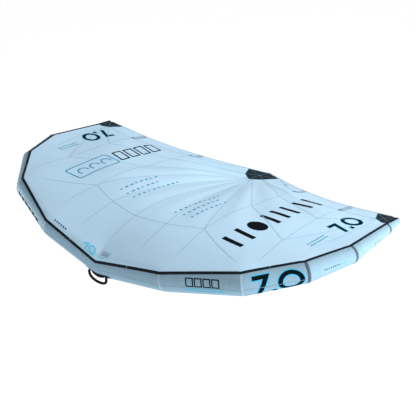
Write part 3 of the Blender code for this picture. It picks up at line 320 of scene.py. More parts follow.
def pipe(outer: Array, inner: Array, turned_round: bool = False) -> Shell:
    """The wall between two sets of closed rings.

    Args:
        outer: rings of its outside.
        inner: rings of its inside.
        turned_round: whether the texture's first number runs round it instead of along it.

    Returns:
        The wall, facing out.
    """
    places = grid_places(outer, True)
    return wall(outer, inner, places[..., ::-1] if turned_round else places, True)


def grid_places(grid: Array, closed: bool = False) -> Array:
    """Texture places of a grid: how far each point is along its column and along its row, in metres.

    Args:
        grid: the points, rows by columns.
        closed: whether the last column joins the first.

    Returns:
        The places, with one column more where the grid is closed.
    """
    if closed:
        grid = np.concatenate([grid, grid[:, :1]], axis=1)
    down = np.linalg.norm(np.diff(grid, axis=0), axis=2)
    across = np.linalg.norm(np.diff(grid, axis=1), axis=2)
    u = np.concatenate([np.zeros((1, grid.shape[1])), np.cumsum(down, axis=0)])
    v = np.concatenate([np.zeros((grid.shape[0], 1)), np.cumsum(across, axis=1)], axis=1)
    return np.stack([u, v], 2)


def rod(rings: Array) -> Shell:
    """A solid through closed rings of points, each end closed to its middle point.

    Args:
        rings: the rings, from one end to the other.

    Returns:
        The solid, facing out.
    """
    index, places = numbers(*rings.shape[:2]), grid_places(rings, True)
    parts = [cells(index, places, True)]
    poles = np.array([rings[0].mean(0), rings[-1].mean(0)])
    for end, pole, way in ((0, 0, -1), (-1, 1, 1)):
        ring, edge = index[end], places[end]
        middle = edge[:-1] + np.array([np.linalg.norm(rings[end, 0] - poles[end]), 0.0])
        faces = np.stack([ring, np.roll(ring, -1), np.full(len(ring), index.size + pole)], 1)
        parts.append((faces[:, ::way], np.stack([edge[:-1], edge[1:], middle], 1)[:, ::way]))
    return Shell.of(np.concatenate([rings.reshape(-1, 3), poles]), parts)


def hoop(rings: Array) -> Shell:
    """A solid through rings of points whose last ring meets the first."""
    index, looped = numbers(*rings.shape[:2]), np.concatenate([rings, rings[:1]])
    return Shell.of(rings, [cells(np.concatenate([index, index[:1]]), grid_places(looped, True), True)])


def lens(near: Array, far: Array, places: Array) -> Shell:
    """A thin plate between two sets of closed rings, each running inwards to a single middle point.

    Args:
        near: rings of one skin, outermost first; the last one is a single point repeated.
        far: rings of the other skin.
        places: texture places with one column more than the rings.

    Returns:
        The plate, facing out.
    """
    rows, columns = near.shape[:2]
    count = (rows - 1) * columns + 1
    top = np.minimum(numbers(rows, columns), count - 1)
    low = top + count
    parts = [cells(top, places, True), cells(low, places, True, -1), rim(low[0], top[0], places[0], True)]
    faces, corners = (np.concatenate(group) for group in zip(*parts))
    whole = (faces != np.roll(faces, 1, axis=1)).all(axis=1)
    skins = [skin.reshape(-1, 3)[:count] for skin in (near, far)]
    return Shell.of(np.concatenate(skins), [(faces[whole], corners[whole])])


def cup(outer: Array, inner: Array) -> Shell:
    """The wall of a tube whose last rings close to their middle points."""
    skins = [np.concatenate([grid, np.broadcast_to(grid[-1].mean(0), grid[:1].shape)]) for grid in (outer, inner)]
    return lens(*skins, grid_places(skins[0], True))


def swept(path: Array, radii: Array | float, sides: int, flat: Array) -> Array:
    """Rings of a round tube: each path point plus its radius times cosine and sine of the turn.

    Args:
        path: points of the middle line.
        radii: radius at each point, or one for all.
        sides: points in a ring.
        flat: a direction about square to the path; each ring starts square to it and to the path.

    Returns:
        Rings, one for each path point.
    """
    along = unit(np.gradient(path, axis=0))
    across = unit(np.cross(flat, along))
    third = np.cross(along, across)
    cosine, sine = (wave[None, :, None] for wave in circle(sides))
    size = np.broadcast_to(radii, (len(path),))[:, None, None]
    return path[:, None] + size * (cosine * across[:, None] + sine * third[:, None])


@dataclass(frozen=True)
class Frame:
    """A place with three directions: x, y and outwards."""

    origin: Array
    x: Array
    y: Array
    out: Array

    def at(self, x: Array, y: Array, out: Array) -> Array:
        """Points at distances along the three directions."""
        x, y, out = (np.asarray(value, float)[..., None] for value in (x, y, out))
        return self.origin + x * self.x + y * self.y + out * self.out

    def turned(self, profile: Sequence[Place], sides: int, swell: Array | float = 1.0) -> Array:
        """Rings of a profile turned round the outward direction.

        Args:
            profile: radius and height of each ring.
            sides: points in a ring.
            swell: a factor on the radius, for each ring and side.

        Returns:
            Rings, one for each profile point.
        """
        profile = np.asarray(profile, float)
        cosine, sine = circle(sides)
        radius = profile[:, :1] * swell
        return self.at(radius * cosine, radius * sine, profile[:, 1:] + 0.0 * cosine)


# Finishes


class Bench:
    """The nodes of one material or world, added and wired by short calls."""

    def __init__(self, owner: bpy.types.Material | bpy.types.World) -> None:
        """Takes a material or a world and switches its nodes on."""
        self.owner = owner
        owner.use_nodes = True
        self.tree = owner.node_tree
        self.shader = self.tree.nodes.get("Principled BSDF") or self.tree.nodes["Background"]

    def set(self, **values: float | Colour) -> None:
        """Sets plain values on the shader's own sockets, named with _ for a space."""
        for name, value in values.items():
            self.feed(self.shader.inputs[name.replace("_", " ")], value)

    def add(self, kind: str, inputs: dict[str | int, object] | None = None, **settings: object) -> bpy.types.Node:
        """Adds a node.

        Args:
            kind: the node's type, without its first word.
            inputs: sockets, plain numbers or colours for its inputs.
            settings: its settings.

        Returns:
            The node.
        """
        node = self.tree.nodes.new(f"ShaderNode{kind}")
        for name, value in settings.items():
            setattr(node, name, value)
        for name, value in (inputs or {}).items():
            self.feed(node.inputs[name], value)
        return node

    def feed(self, target: Socket, value: object) -> None:
        """Wires a socket into another, or sets a plain value on it.

        Args:
            target: the input.
            value: a socket, a number or a colour.
        """
        if isinstance(value, Socket):
            self.tree.links.new(value, target)
        elif isinstance(value, tuple) and target.type == "RGBA":
            target.default_value = (*value, 1.0)
        else:
            target.default_value = value

    def maths(self, operation: str, *values: object) -> Socket:
        """A sum worked out from sockets or numbers."""
        return self.add("Math", dict(enumerate(values)), operation=operation).outputs[0]

    def fold(self, operation: str, *values: object) -> Socket:
        """A sum of two worked out again and again over several sockets or numbers.

        Args:
            operation: the sum.
            values: the sockets or numbers, in order.

        Returns:
            The last result.
        """
        result = values[0]
        for value in values[1:]:
            result = self.maths(operation, result, value)
        return result

    def times(self, first: object, second: object) -> Socket:
        """The product of two sockets or numbers."""
        return self.maths("MULTIPLY", first, second)

    def object_place(self) -> Socket:
        """Object coordinates."""
        return self.add("TexCoord").outputs["Object"]

    def cloth_place(self) -> tuple[Socket, Socket, Socket]:
        """The piece's own texture place, whole and as its two numbers."""
        place = self.add("UVMap", uv_map="cloth").outputs[0]
        apart = self.add("SeparateXYZ", {0: place})
        return place, apart.outputs[0], apart.outputs[1]

    def noise(self, place: Socket, scale: float | Colour, detail: float = 2.0) -> Socket:
        """Noise about 0.5, stretched where scale is three numbers.

        Args:
            place: where to read it.
            scale: repeats in a metre, for all directions or each.
            detail: how fine its layers go.

        Returns:
            The noise.
        """
        if isinstance(scale, tuple):
            place, scale = self.add("Mapping", {"Vector": place, "Scale": scale}).outputs[0], 1.0
        return self.add("TexNoise", {"Vector": place, "Scale": scale, "Detail": detail}).outputs[0]

    def weave(self, u: Socket, v: Socket, thread: float) -> Socket:
        """Height of a plain weave: the size of a sine across each thread, one way times the other."""
        waves = [self.maths("SINE", self.times(axis, math.pi / thread)) for axis in (u, v)]
        return self.times(*(self.maths("ABSOLUTE", wave) for wave in waves))

    def mix(self, share: object, first: object, second: object) -> Socket:
        """A colour between two, by share."""
        return self.add("Mix", {0: share, 6: first, 7: second}, data_type="RGBA", clamp_factor=True).outputs[2]

    def swing(self, source: Socket, amount: float) -> Socket:
        """A socket about 0.5 turned into a small change about 0."""
        return self.times(self.maths("SUBTRACT", source, 0.5), amount)

    def tone(self, *swings: tuple[Socket, float]) -> Socket:
        """0.5 plus the swing of every source by its amount."""
        return self.fold("ADD", *(self.swing(*pair) for pair in swings), 0.5)

    def bump(self, height: Socket, distance: float, strength: float = 1.0) -> None:
        """Wires a height into the shader's normal."""
        node = self.add("Bump", {"Strength": strength, "Distance": distance, "Height": height})
        self.set(Normal=node.outputs[0])


@dataclass(frozen=True)
class Finish:
    """What every finish has.

    Attributes:
        name: its name.
        slot: the record's material that it stands for; not used.
        colour: its colour.
        roughness: how rough it is.
    """

    name: str
    slot: str
    colour: Colour
    roughness: float

    def material(self) -> bpy.types.Material:
        """The finish's material, made once."""
        name = f"finish_{self.name}"
        if name not in bpy.data.materials:
            self.dress(Bench(bpy.data.materials.new(name)))
        return bpy.data.materials[name]

    def dress(self, bench: Bench) -> None:
        """Adds the finish's own nodes."""
        raise NotImplementedError

    def tint(self, bench: Bench, tone: Socket, shades: Place, wear: Socket, spread: float) -> Socket:
        """Sets the colour between two shades of its own, and a roughness about its own.

        Args:
            bench: the material's nodes.
            tone: 0 for the dark shade, 1 for the light one.
            shades: factors on the colour, dark and light.
            wear: what the roughness follows.
            spread: how much the roughness varies.

        Returns:
            The colour.
        """
        dark, light = (tuple(min(1.0, channel * factor) for channel in self.colour) for factor in shades)
        colour = bench.mix(tone, dark, light)
        rough = bench.maths("ADD", bench.swing(wear, spread), self.roughness)
        bench.set(Base_Color=colour, Roughness=rough)
        return colour


@dataclass(frozen=True)
class Cloth(Finish):
    """Woven cloth with threads, ripstop lines, streaks, slow changes of tone and rows of stitches.

    Attributes:
        thread: width of a thread.
        relief: height of the weave.
        ripstop: distance between ripstop lines, or 0 for none.
        ripstop_depth: how much darker the ripstop lines are.
        streaks: how much the tone changes in streaks along the threads.
        mottle: how much the tone changes over a hand's width.
        sheen: soft light at grazing angles.
        rows: rows of stitches, as distances from the middle line.
        stitch: length of a stitch and the gap after it.
        thread_colour: colour of the stitches.
        gloss: refraction above that of air, which sets how much light it mirrors.
        coarse: how much the tone changes in streaks a finger apart.
    """

    thread: float = 0.0011
    relief: float = 0.00012
    ripstop: float = 0.0
    ripstop_depth: float = 0.05
    streaks: float = 0.06
    mottle: float = 0.05
    sheen: float = 0.15
    rows: tuple[float, ...] = ()
    stitch: float = 0.005
    thread_colour: Colour = (0.5, 0.55, 0.6)
    gloss: float = 0.35
    coarse: float = 0.0

    def dress(self, bench: Bench) -> None:
        """Tone is 0.5 plus streaks, mottle and ripstop; height is the weave plus the stitches.

        Args:
            bench: the material's nodes.
        """
        place, u, v = bench.cloth_place()
        weave = bench.weave(u, v, self.thread)
        streaks = bench.noise(place, (9.0, 260.0, 1.0))
        tone = bench.tone(
            (streaks, self.streaks * 4.0),
            (bench.noise(place, (260.0, 9.0, 1.0)), self.streaks * 4.0),
            (bench.noise(bench.object_place(), 3.1, 3.0), self.mottle * 8.0),
            (weave, self.streaks * 1.5),
            (bench.noise(place, (75.0, 4.0, 1.0)), self.coarse * 5.0),
            (bench.noise(place, (4.0, 75.0, 1.0)), self.coarse * 3.0),
        )
        if self.ripstop:
            grid = bench.maths("MAXIMUM", *(self.dashes(bench, axis, self.ripstop, 0.09) for axis in (u, v)))
            tone = bench.maths("SUBTRACT", tone, bench.times(grid, self.ripstop_depth * 4.0))
            weave = bench.maths("ADD", weave, bench.times(grid, 0.8))
        colour = self.tint(bench, tone, (0.84, 1.16), streaks, 0.16)
        if self.rows:
            away = [bench.maths("SUBTRACT", bench.maths("ABSOLUTE", v), row) for row in self.rows]
            lines = [bench.maths("LESS_THAN", bench.maths("ABSOLUTE", gap), 0.0007) for gap in away]
            stitches = bench.times(bench.fold("MAXIMUM", *lines), self.dashes(bench, u, self.stitch, 0.62))
            bench.set(Base_Color=bench.mix(stitches, colour, self.thread_colour))
            weave = bench.maths("ADD", weave, bench.times(stitches, 2.5))
        bench.bump(weave, self.relief, 0.7)
        bench.set(Sheen_Weight=self.sheen, Sheen_Roughness=0.45, IOR=1.0 + self.gloss)

    @staticmethod
    def dashes(bench: Bench, axis: Socket, step: float, share: float) -> Socket:
        """1 over the first share of every step along an axis, and 0 elsewhere."""
        return bench.maths("LESS_THAN", bench.maths("FRACT", bench.maths("DIVIDE", axis, step)), share)


@dataclass(frozen=True)
class Moulded(Finish):
    """Moulded plastic, rubber or silicone: fine grain, faint flow marks and rubbed spots.

    Attributes:
        grain: grains in a metre.
        relief: height of the grain.
        through: how much light passes.
    """

    grain: float = 1400.0
    relief: float = 0.00006
    through: float = 0.0

    def dress(self, bench: Bench) -> None:
        """Tone and roughness follow slow flow marks; height is the grain.

        Args:
            bench: the material's nodes.
        """
        place = bench.object_place()
        flow, grain = bench.noise(place, 38.0, 3.0), bench.noise(place, self.grain, 1.0)
        self.tint(bench, bench.tone((flow, 0.9), (grain, 0.7)), (0.8, 1.25), flow, 0.2)
        bench.bump(grain, self.relief)
        bench.set(Transmission_Weight=self.through, Specular_IOR_Level=0.3)


@dataclass(frozen=True)
class Foam(Finish):
    """Soft closed cell foam: pores, slow stains and a dull surface."""

    pores: float = 900.0

    def dress(self, bench: Bench) -> None:
        """Height is the distance to the nearest pore; tone follows it and slow noise.

        Args:
            bench: the material's nodes.
        """
        place = bench.object_place()
        pores = bench.add("TexVoronoi", {"Vector": place, "Scale": self.pores}).outputs["Distance"]
        slow = bench.noise(place, 22.0, 3.0)
        self.tint(bench, bench.tone((pores, 0.6), (slow, 0.8)), (0.7, 1.4), slow, 0.12)
        bench.bump(pores, 0.00025)
        bench.set(Sheen_Weight=0.04, IOR=1.2)


@dataclass(frozen=True)
class Laminate(Finish):
    """Twill weave fibre under a clear coat."""

    tow: float = 0.0021

    def dress(self, bench: Bench) -> None:
        """Twill is the sign of a diagonal wave: each tow passes over two and under two.

        Args:
            bench: the material's nodes.
        """
        place, u, v = bench.cloth_place()
        slants = [bench.times(bench.maths(way, u, v), math.pi / self.tow) for way in ("ADD", "SUBTRACT")]
        twill = bench.maths("GREATER_THAN", bench.times(*(bench.maths("SINE", slant) for slant in slants)), 0.0)
        fibre = bench.noise(place, (900.0, 90.0, 1.0))
        self.tint(bench, bench.tone((twill, 0.7), (fibre, 0.5)), (0.5, 2.2), fibre, 0.15)
        bench.bump(bench.maths("ADD", twill, fibre), 0.00005)
        bench.set(Coat_Weight=0.9, Coat_Roughness=0.08)


@dataclass(frozen=True)
class Metal(Finish):
    """Brushed metal: fine scratches along the piece and faint stains."""

    def dress(self, bench: Bench) -> None:
        """Tone, roughness and height follow noise drawn out along the piece.

        Args:
            bench: the material's nodes.
        """
        brush = bench.noise(bench.cloth_place()[0], (60.0, 4200.0, 1.0), 3.0)
        stain = bench.noise(bench.object_place(), 55.0, 3.0)
        self.tint(bench, bench.tone((brush, 0.5), (stain, 0.5)), (0.82, 1.1), brush, 0.2)
        bench.bump(brush, 0.00002)
        bench.set(Metallic=1.0)


@dataclass(frozen=True)
class Ink(Finish):
    """Print on cloth: the weave shows through and the ink is a little worn."""

    thread: float = 0.0011

    def dress(self, bench: Bench) -> None:
        """Tone follows fine wear noise; height is the weave under the ink.

        Args:
            bench: the material's nodes.
        """
        _, u, v = bench.cloth_place()
        wear = bench.noise(bench.object_place(), 160.0, 4.0)
        self.tint(bench, bench.tone((wear, 0.7)), (0.82, 1.2), wear, 0.2)
        bench.bump(bench.weave(u, v, self.thread), 0.00004)
        bench.set(IOR=1.04)


class Look(Enum):
    """The wing's finishes."""

    CANOPY = Cloth(
        "canopy_ripstop", "canopy", (0.440, 0.640, 0.800), 0.62,
        ripstop=0.0065, ripstop_depth=0.03, streaks=0.012, mottle=0.022, sheen=0.06, gloss=0.2,
    )
    CASING = Cloth(
        "casing_weave", "casing", (0.215, 0.330, 0.415), 0.5,
        thread=0.0016, relief=0.00003, streaks=0.05, mottle=0.02, sheen=0.05, gloss=0.14, coarse=0.11,
    )
    PANEL_SEAM = Cloth(
        "panel_seam", "canopy", (0.275, 0.420, 0.540), 0.6,
        streaks=0.03, rows=(0.0016,), thread_colour=(0.34, 0.49, 0.61), sheen=0.04, gloss=0.15,
    )
    JOINT_SEAM = Cloth(
        "joint_seam", "casing", (0.235, 0.345, 0.430), 0.5,
        rows=(0.0030,), thread_colour=(0.66, 0.74, 0.80), stitch=0.012, sheen=0.05,
    )
    STITCH = Cloth(
        "stitch_line", "casing", (0.110, 0.165, 0.210), 0.5,
        rows=(0.0,), thread_colour=(0.50, 0.60, 0.68), stitch=0.024, sheen=0.0, gloss=0.1,
    )
    TAPE = Cloth(
        "seam_tape", "black_cloth", (0.008, 0.012, 0.016), 0.55,
        thread=0.0009, streaks=0.05, rows=(0.0065,), thread_colour=(0.06, 0.08, 0.10), sheen=0.0, gloss=0.05,
    )
    BAND = Cloth(
        "joint_band", "band_grey", (0.062, 0.094, 0.120), 0.6,
        streaks=0.06, rows=(0.0095,), thread_colour=(0.13, 0.17, 0.20), sheen=0.05, gloss=0.15,
    )
    PATCH = Cloth(
        "patch_cloth", "black_cloth", (0.011, 0.023, 0.034), 0.6, thread=0.0014, relief=0.00004,
        streaks=0.08, rows=(0.004, 0.0085), thread_colour=(0.09, 0.12, 0.15), sheen=0.0, gloss=0.05,
    )
    PATCH_SEAM = Cloth(
        "patch_seam", "black_cloth", (0.060, 0.080, 0.098), 0.6,
        rows=(0.001,), thread_colour=(0.20, 0.24, 0.28), sheen=0.0, gloss=0.15,
    )
    POCKET = Cloth("pocket_cloth", "pocket_grey", (0.265, 0.380, 0.470), 0.6, streaks=0.05, sheen=0.05, gloss=0.2)
    HEM = Cloth(
        "hem_cloth", "pocket_grey", (0.360, 0.510, 0.640), 0.6,
        streaks=0.03, rows=(0.003,), thread_colour=(0.55, 0.68, 0.78), sheen=0.05, gloss=0.2,
    )
    WEBBING = Cloth(
        "webbing", "webbing", (0.009, 0.011, 0.014), 0.72,
        thread=0.0022, relief=0.0005, streaks=0.10, sheen=0.0, gloss=0.08,
    )
    FILM = Moulded("bladder_film", "bladder", (0.72, 0.76, 0.78), 0.28, relief=0.00003, through=0.35)
    FOAM = Foam("grip_foam", "foam", (0.022, 0.023, 0.026), 0.82)
    CARBON = Laminate("carbon_laminate", "carbon", (0.020, 0.021, 0.023), 0.30)
    PLASTIC = Moulded("moulded_plastic", "plastic", (0.024, 0.026, 0.030), 0.42)
    GREY_PLASTIC = Moulded("moulded_grey", "plastic", (0.130, 0.155, 0.175), 0.40)
    STEEL = Metal("brushed_steel", "steel", (0.62, 0.63, 0.65), 0.30)
    HOSE = Moulded("air_hose", "hose", (0.040, 0.046, 0.054), 0.45, grain=700.0)
    SILICONE = Moulded("silicone", "silicone", (0.72, 0.74, 0.74), 0.5, through=0.1)
    BATTEN = Laminate("batten_glass", "batten", (0.62, 0.62, 0.52), 0.35)
    BLACK_INK = Ink("black_ink", "black_cloth", (0.004, 0.006, 0.008), 0.5)
    CYAN_INK = Ink("cyan_ink", "canopy", (0.030, 0.400, 0.620), 0.5)
    DEEP_INK = Ink("deep_cyan_ink", "canopy", (0.020, 0.250, 0.430), 0.5)
    PALE_INK = Ink("pale_ink", "canopy", (0.150, 0.560, 0.780), 0.55)
    GREY_INK = Ink("grey_ink", "canopy", (0.180, 0.260, 0.320), 0.55)


class Body(Enum):
    """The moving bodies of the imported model."""

    WING = "wing"
    NOSE_HANDLE = "nose_handle"
    LEASH = "leash_webbing"
    VALVE_CAP = "valve_cap"
    FLAP = "one_way_flap"
    CLIP = "clip_lever"


SHARP_EDGE = math.radians(40.0)
"""The angle from which an edge stays sharp."""


def add_piece(
    name: str,
    shells: Sequence[Shell] | Shell,
    look: Look,
    node: str = "",
    body: Body = Body.WING,
) -> bpy.types.Object:
    """One finished piece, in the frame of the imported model.

    Args:
        name: the piece's name.
        shells: its closed skins, laid out from the nose.
        look: its finish.
        node: the node that it stands for.
        body: the body it rides on.

    Returns:
        The object.
    """
    shell = shells if isinstance(shells, Shell) else join(shells)
    mesh = bpy.data.meshes.new(name)
    mesh.from_pydata((shell.points + np.array(WingPlan.seat)).tolist(), [], shell.faces.tolist())
    layer = mesh.uv_layers.new(name="cloth")
    layer.data.foreach_set("uv", shell.corners.reshape(-1).astype(np.float32))
    mesh.shade_smooth()
    mesh.set_sharp_from_angle(angle=SHARP_EDGE)
    mesh.materials.append(look.value.material())
    piece = bpy.data.objects.new(name, mesh)
    bpy.context.scene.collection.objects.link(piece)
    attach(piece, body.value)
    if node:
        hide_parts(node)
    LOG.info("%-28s %7d triangles on %s", name, len(shell.faces), body.value)
    return piece


# The wing's outline and its three skins


@dataclass(frozen=True)
class WingPlan:
    """Sizes of the wing's outline, tube and crown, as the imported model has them.

    Attributes:
        seat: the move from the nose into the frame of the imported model.
        le_span: places of the tube's joints, as shares of the half span; sweep, rise and radius likewise.
        seam_angles: where the canopy's seam runs round the tube at each joint.
        leave_angles: where the canopy leaves the tube at each joint.
        te_span: places of the trailing edge's knots, as shares; reach and rise likewise.
        te_stations: shares of the half span where the trailing edge meets the joints' columns.
        crown: shares of half span, root chord and rise of known points of the canopy.
        known_columns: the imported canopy's columns over each panel.
        known_wrap_rows: its rows on the tube.
        chord_rows: its rows from the tube to the hem, as shares.
        leave_run: how far its guides stand from the tube, as a share of the radius.
    """

    seat: tuple[float, float, float] = (0.0, -0.775387, -0.010125)
    half_span: float = 1.700
    root_chord: float = 2.424
    tip_sweep: float = 1.828
    rise: float = 0.310
    nose_radius: float = 0.134
    le_span: tuple[float, ...] = (0.0, 0.386, 0.734, 0.920, 1.002, 0.994, 1.0)
    le_sweep: tuple[float, ...] = (0.0, 0.032, 0.164, 0.359, 0.582, 0.901, 1.0)
    le_rise: tuple[float, ...] = (0.0, 0.413, 0.816, 0.994, 0.997, 0.794, 0.739)
    le_radius: tuple[float, ...] = (1.0, 0.88, 0.85, 0.694, 0.56, 0.366, 0.20)
    seam_angles: tuple[float, ...] = (-65.5, -47.0, -24.0, -4.0, 5.0, 8.0, 10.0)
    leave_angles: tuple[float, ...] = (-27.0, -15.0, -7.0, 5.0, 11.0, 15.0, 18.0)
    te_span: tuple[float, ...] = (0.0, 0.109, 0.37, 0.7235, 0.8906, 0.975)
    te_reach: tuple[float, ...] = (1.0, 0.819, 0.460, 0.1275, 0.0386, 0.0117)
    te_rise: tuple[float, ...] = (-0.306, -0.187, 0.087, 0.465, 0.648, 0.716)
    te_stations: tuple[float, ...] = (0.0, 0.37, 0.66, 0.81, 0.895, 0.945, 0.975)
    crown: tuple[tuple[float, float, float], ...] = (
        (0.0, 0.197, 0.71), (0.0, 0.842, -0.065), (0.063, 0.878, -0.084), (0.182, 0.215, 0.745),
        (0.367, 0.259, 0.784), (0.371, 0.514, 0.565), (0.372, 0.679, 0.368), (0.374, 0.790, 0.239),
        (0.725, 0.348, 0.887), (0.719, 0.557, 0.719), (0.725, 0.693, 0.581), (0.925, 0.698, 0.739),
    )
    known_columns: tuple[int, ...] = (4, 4, 3, 2, 2, 1)
    known_wrap_rows: int = 4
    chord_rows: tuple[float, ...] = (0.04, 0.09, 0.15, 0.22, 0.30, 0.39, 0.48, 0.57, 0.66, 0.75, 0.84, 0.92, 1.0)
    leave_run: float = 0.40
    casing_wall: float = 0.0012
    cloth: float = 0.0010
    cloth_gap: float = 0.0006
    touch: float = 0.0003
    tape_width: float = 0.016
    hem_width: float = 0.014

    def counts(self, columns: Sequence[int]) -> Array:
        """Counts of joints from the nose to the right tip, with a number of columns over each panel."""
        steps = [panel + np.arange(1, size + 1) / size for panel, size in enumerate(columns)]
        return np.concatenate([[0.0], *steps])


class Skin(Protocol):
    """A surface that cloth, tape and print lie on, with its own two numbers for a place."""

    def place(self, first: Array, second: Array, lift: Array | float) -> Array:
        """Points at places, lifted off the surface."""

    def scale(self, first: Array, second: Array) -> tuple[Array, Array]:
        """Metres for one unit of each number at places."""


class TubeSkin:
    """The leading edge tube.

    A place is a count of joints from the nose, below zero on the left, and degrees round the tube from
    its top towards the trailing edge.
    """

    fall: float = -35.0
    """Degrees where the search for a point of the plan starts."""

    def __init__(self, plan: WingPlan) -> None:
        """Works out the tube's middle line and mitred rings.

        Args:
            plan: the wing's sizes.
        """
        self.plan = plan
        self.radii = np.array(plan.le_radius) * plan.nose_radius
        shares = np.stack([plan.le_span, plan.le_sweep, plan.le_rise], 1)
        seam = shares * (plan.half_span, plan.tip_sweep, plan.rise)
        _, upward, inboard, _, _ = self.joint_frames(seam)
        angle = np.radians(plan.seam_angles)[:, None]
        self.axis = seam - self.radii[:, None] * (np.cos(angle) * upward + np.sin(angle) * inboard)
        self.along, self.upward, self.inboard, self.outward, self.stretch = self.joint_frames(self.axis)
        self.lengths = np.linalg.norm(np.diff(self.axis, axis=0), axis=1)
        self.panels = len(self.lengths)

    @staticmethod
    def joint_frames(points: Array) -> tuple[Array, Array, Array, Array, Array]:
        """Directions at the joints of a line.

        Args:
            points: the joints.

        Returns:
            Along, up, inboard and bend directions, and the stretch of the mitre.
        """
        legs = unit(np.diff(points, axis=0))
        along = np.concatenate([[X], unit(legs[:-1] + legs[1:]), legs[-1:]])
        upward = unit(Z - along[:, 2:] * along)
        outward, stretch = np.zeros_like(points), np.ones(len(points))
        outward[1:-1] = unit(legs[:-1] - legs[1:])
        stretch[1:-1] = 1.0 / (legs[:-1] * along[1:-1]).sum(axis=1)
        return along, upward, np.cross(upward, along), outward, stretch

    def ring(self, joint: Array, degrees: Array, extra: Array | float = 0.0) -> Array:
        """Points on mitred rings: the joint plus its radius times the spoke, drawn out where the tube bends.

        Args:
            joint: joint numbers.
            degrees: places round the tube.
            extra: how much is added to the radius.

        Returns:
            The points.
        """
        angle = np.radians(degrees)[..., None]
        spoke = np.cos(angle) * self.upward[joint] + np.sin(angle) * self.inboard[joint]
        lean = (spoke * self.outward[joint]).sum(-1, keepdims=True) * self.outward[joint]
        size = (self.radii[joint] + extra)[..., None]
        return self.axis[joint] + size * (spoke + (self.stretch[joint] - 1.0)[..., None] * lean)

    def split(self, count: Array) -> tuple[Array, Array, Array]:
        """Cuts counts of joints up.

        Args:
            count: the counts.

        Returns:
            Panel number, share of the panel and side of the wing.
        """
        size = np.abs(count)
        panel = np.minimum(size.astype(int), self.panels - 1)
        return panel, size - panel, np.where(np.asarray(count) < 0.0, -1.0, 1.0)

    def drawn_in(self, count: Array, degrees: Array) -> Array:
        """How far the sewn joints draw the cloth in: a dip across each joint, with small puckers round it.

        Args:
            count: counts of joints.
            degrees: places round the tube.

        Returns:
            The depth, from bell curves of the distance to the nearest joint.
        """
        panel, share, _ = self.split(count)
        away = np.minimum(share, 1.0 - share) * self.lengths[panel]
        away = np.where((panel == self.panels - 1) & (share > 0.5), 1.0, away)
        dip, pucker = (np.exp(-((away / width) ** 2)) for width in (0.016, 0.034))
        waves = 1.0 + np.sin(np.radians(degrees) * 27.0)
        return self.radius(count) * (0.013 * dip + 0.0045 * pucker * waves)

    def place(self, first: Array, second: Array, lift: Array | float = 0.0) -> Array:
        """Points between the rings of a panel's two joints, by straight lines.

        Args:
            first: counts of joints.
            second: degrees round the tube.
            lift: height over the casing.

        Returns:
            The points.
        """
        count, degrees, lift = np.broadcast_arrays(np.asarray(first, float), np.asarray(second, float), lift)
        panel, share, side = self.split(count)
        extra = lift - self.drawn_in(count, degrees)
        near, far = self.ring(panel, degrees, extra), self.ring(panel + 1, degrees, extra)
        points = near + (far - near) * share[..., None]
        points[..., 0] *= side
        return points

    def scale(self, first: Array, second: Array) -> tuple[Array, Array]:
        """Length of the panel for a joint, and of an arc for a degree."""
        return self.lengths[self.split(first)[0]], np.radians(self.radius(first))

    def at_joints(self, count: Array, values: Sequence[float]) -> Array:
        """Values known at the joints, by straight lines between them."""
        return np.interp(np.abs(count), np.arange(len(self.radii)), values)

    def radius(self, count: Array) -> Array:
        """Radius of the casing."""
        return self.at_joints(count, self.radii)

    def seam_degrees(self, count: Array) -> Array:
        """Where the canopy's seam runs."""
        return self.at_joints(count, self.plan.seam_angles)

    def wrap_degrees(self, count: Array) -> tuple[Array, Array]:
        """Where the canopy's cloth starts beside the tape, and where it leaves the tube.

        Args:
            count: counts of joints.

        Returns:
            Degrees of the start and of the end.
        """
        plan, radius = self.plan, self.radius(count)
        first = self.seam_degrees(count) + np.degrees((plan.tape_width / 2.0 + plan.cloth_gap) / radius)
        least = first + np.degrees(plan.cloth_gap * plan.known_wrap_rows / radius)
        return first, np.maximum(self.at_joints(count, plan.leave_angles), least)

    def under(self, plan_points: Sequence[Place]) -> Array:
        """Places on the first panels' upper side under points of the plan, by steps that close the gap.

        Args:
            plan_points: the points in plan.

        Returns:
            Places, one a row.
        """
        x, y = np.asarray(plan_points, float).T
        count, degrees = x / self.axis[1][0], np.full(len(x), self.fall)
        for _ in range(12):
            here = self.place(count, degrees)
            count = count + (x - here[:, 0]) / self.axis[1][0]
            degrees = degrees + np.degrees((y - here[:, 1]) / (self.radius(count) * np.cos(np.radians(degrees))))
        return np.stack([count, degrees], 1)

    def frame(self, panel: int, share: float, degrees: float) -> Frame:
        """A frame standing on the right half of the casing.

        Args:
            panel: the panel's number.
            share: share of the panel.
            degrees: place round the tube.

        Returns:
            The frame: along the tube, across it and out of it.
        """
        near, far = (self.ring(np.array(joint), np.array(degrees)) for joint in (panel, panel + 1))
        origin = near + (far - near) * share
        leg = self.axis[panel + 1] - self.axis[panel]
        along, out = unit(leg), origin - (self.axis[panel] + leg * share)
        out = unit(out - out.dot(along) * along)
        return Frame(origin, along, np.cross(out, along), out)


def plate_kernel(here: Array, there: Array) -> Array:
    """Distance squared times its logarithm between two sets of plan points."""
    square = ((here[:, None, :] - there[None, :, :]) ** 2).sum(axis=2)
    return square * np.log(np.where(square > 0.0, square, 1.0))


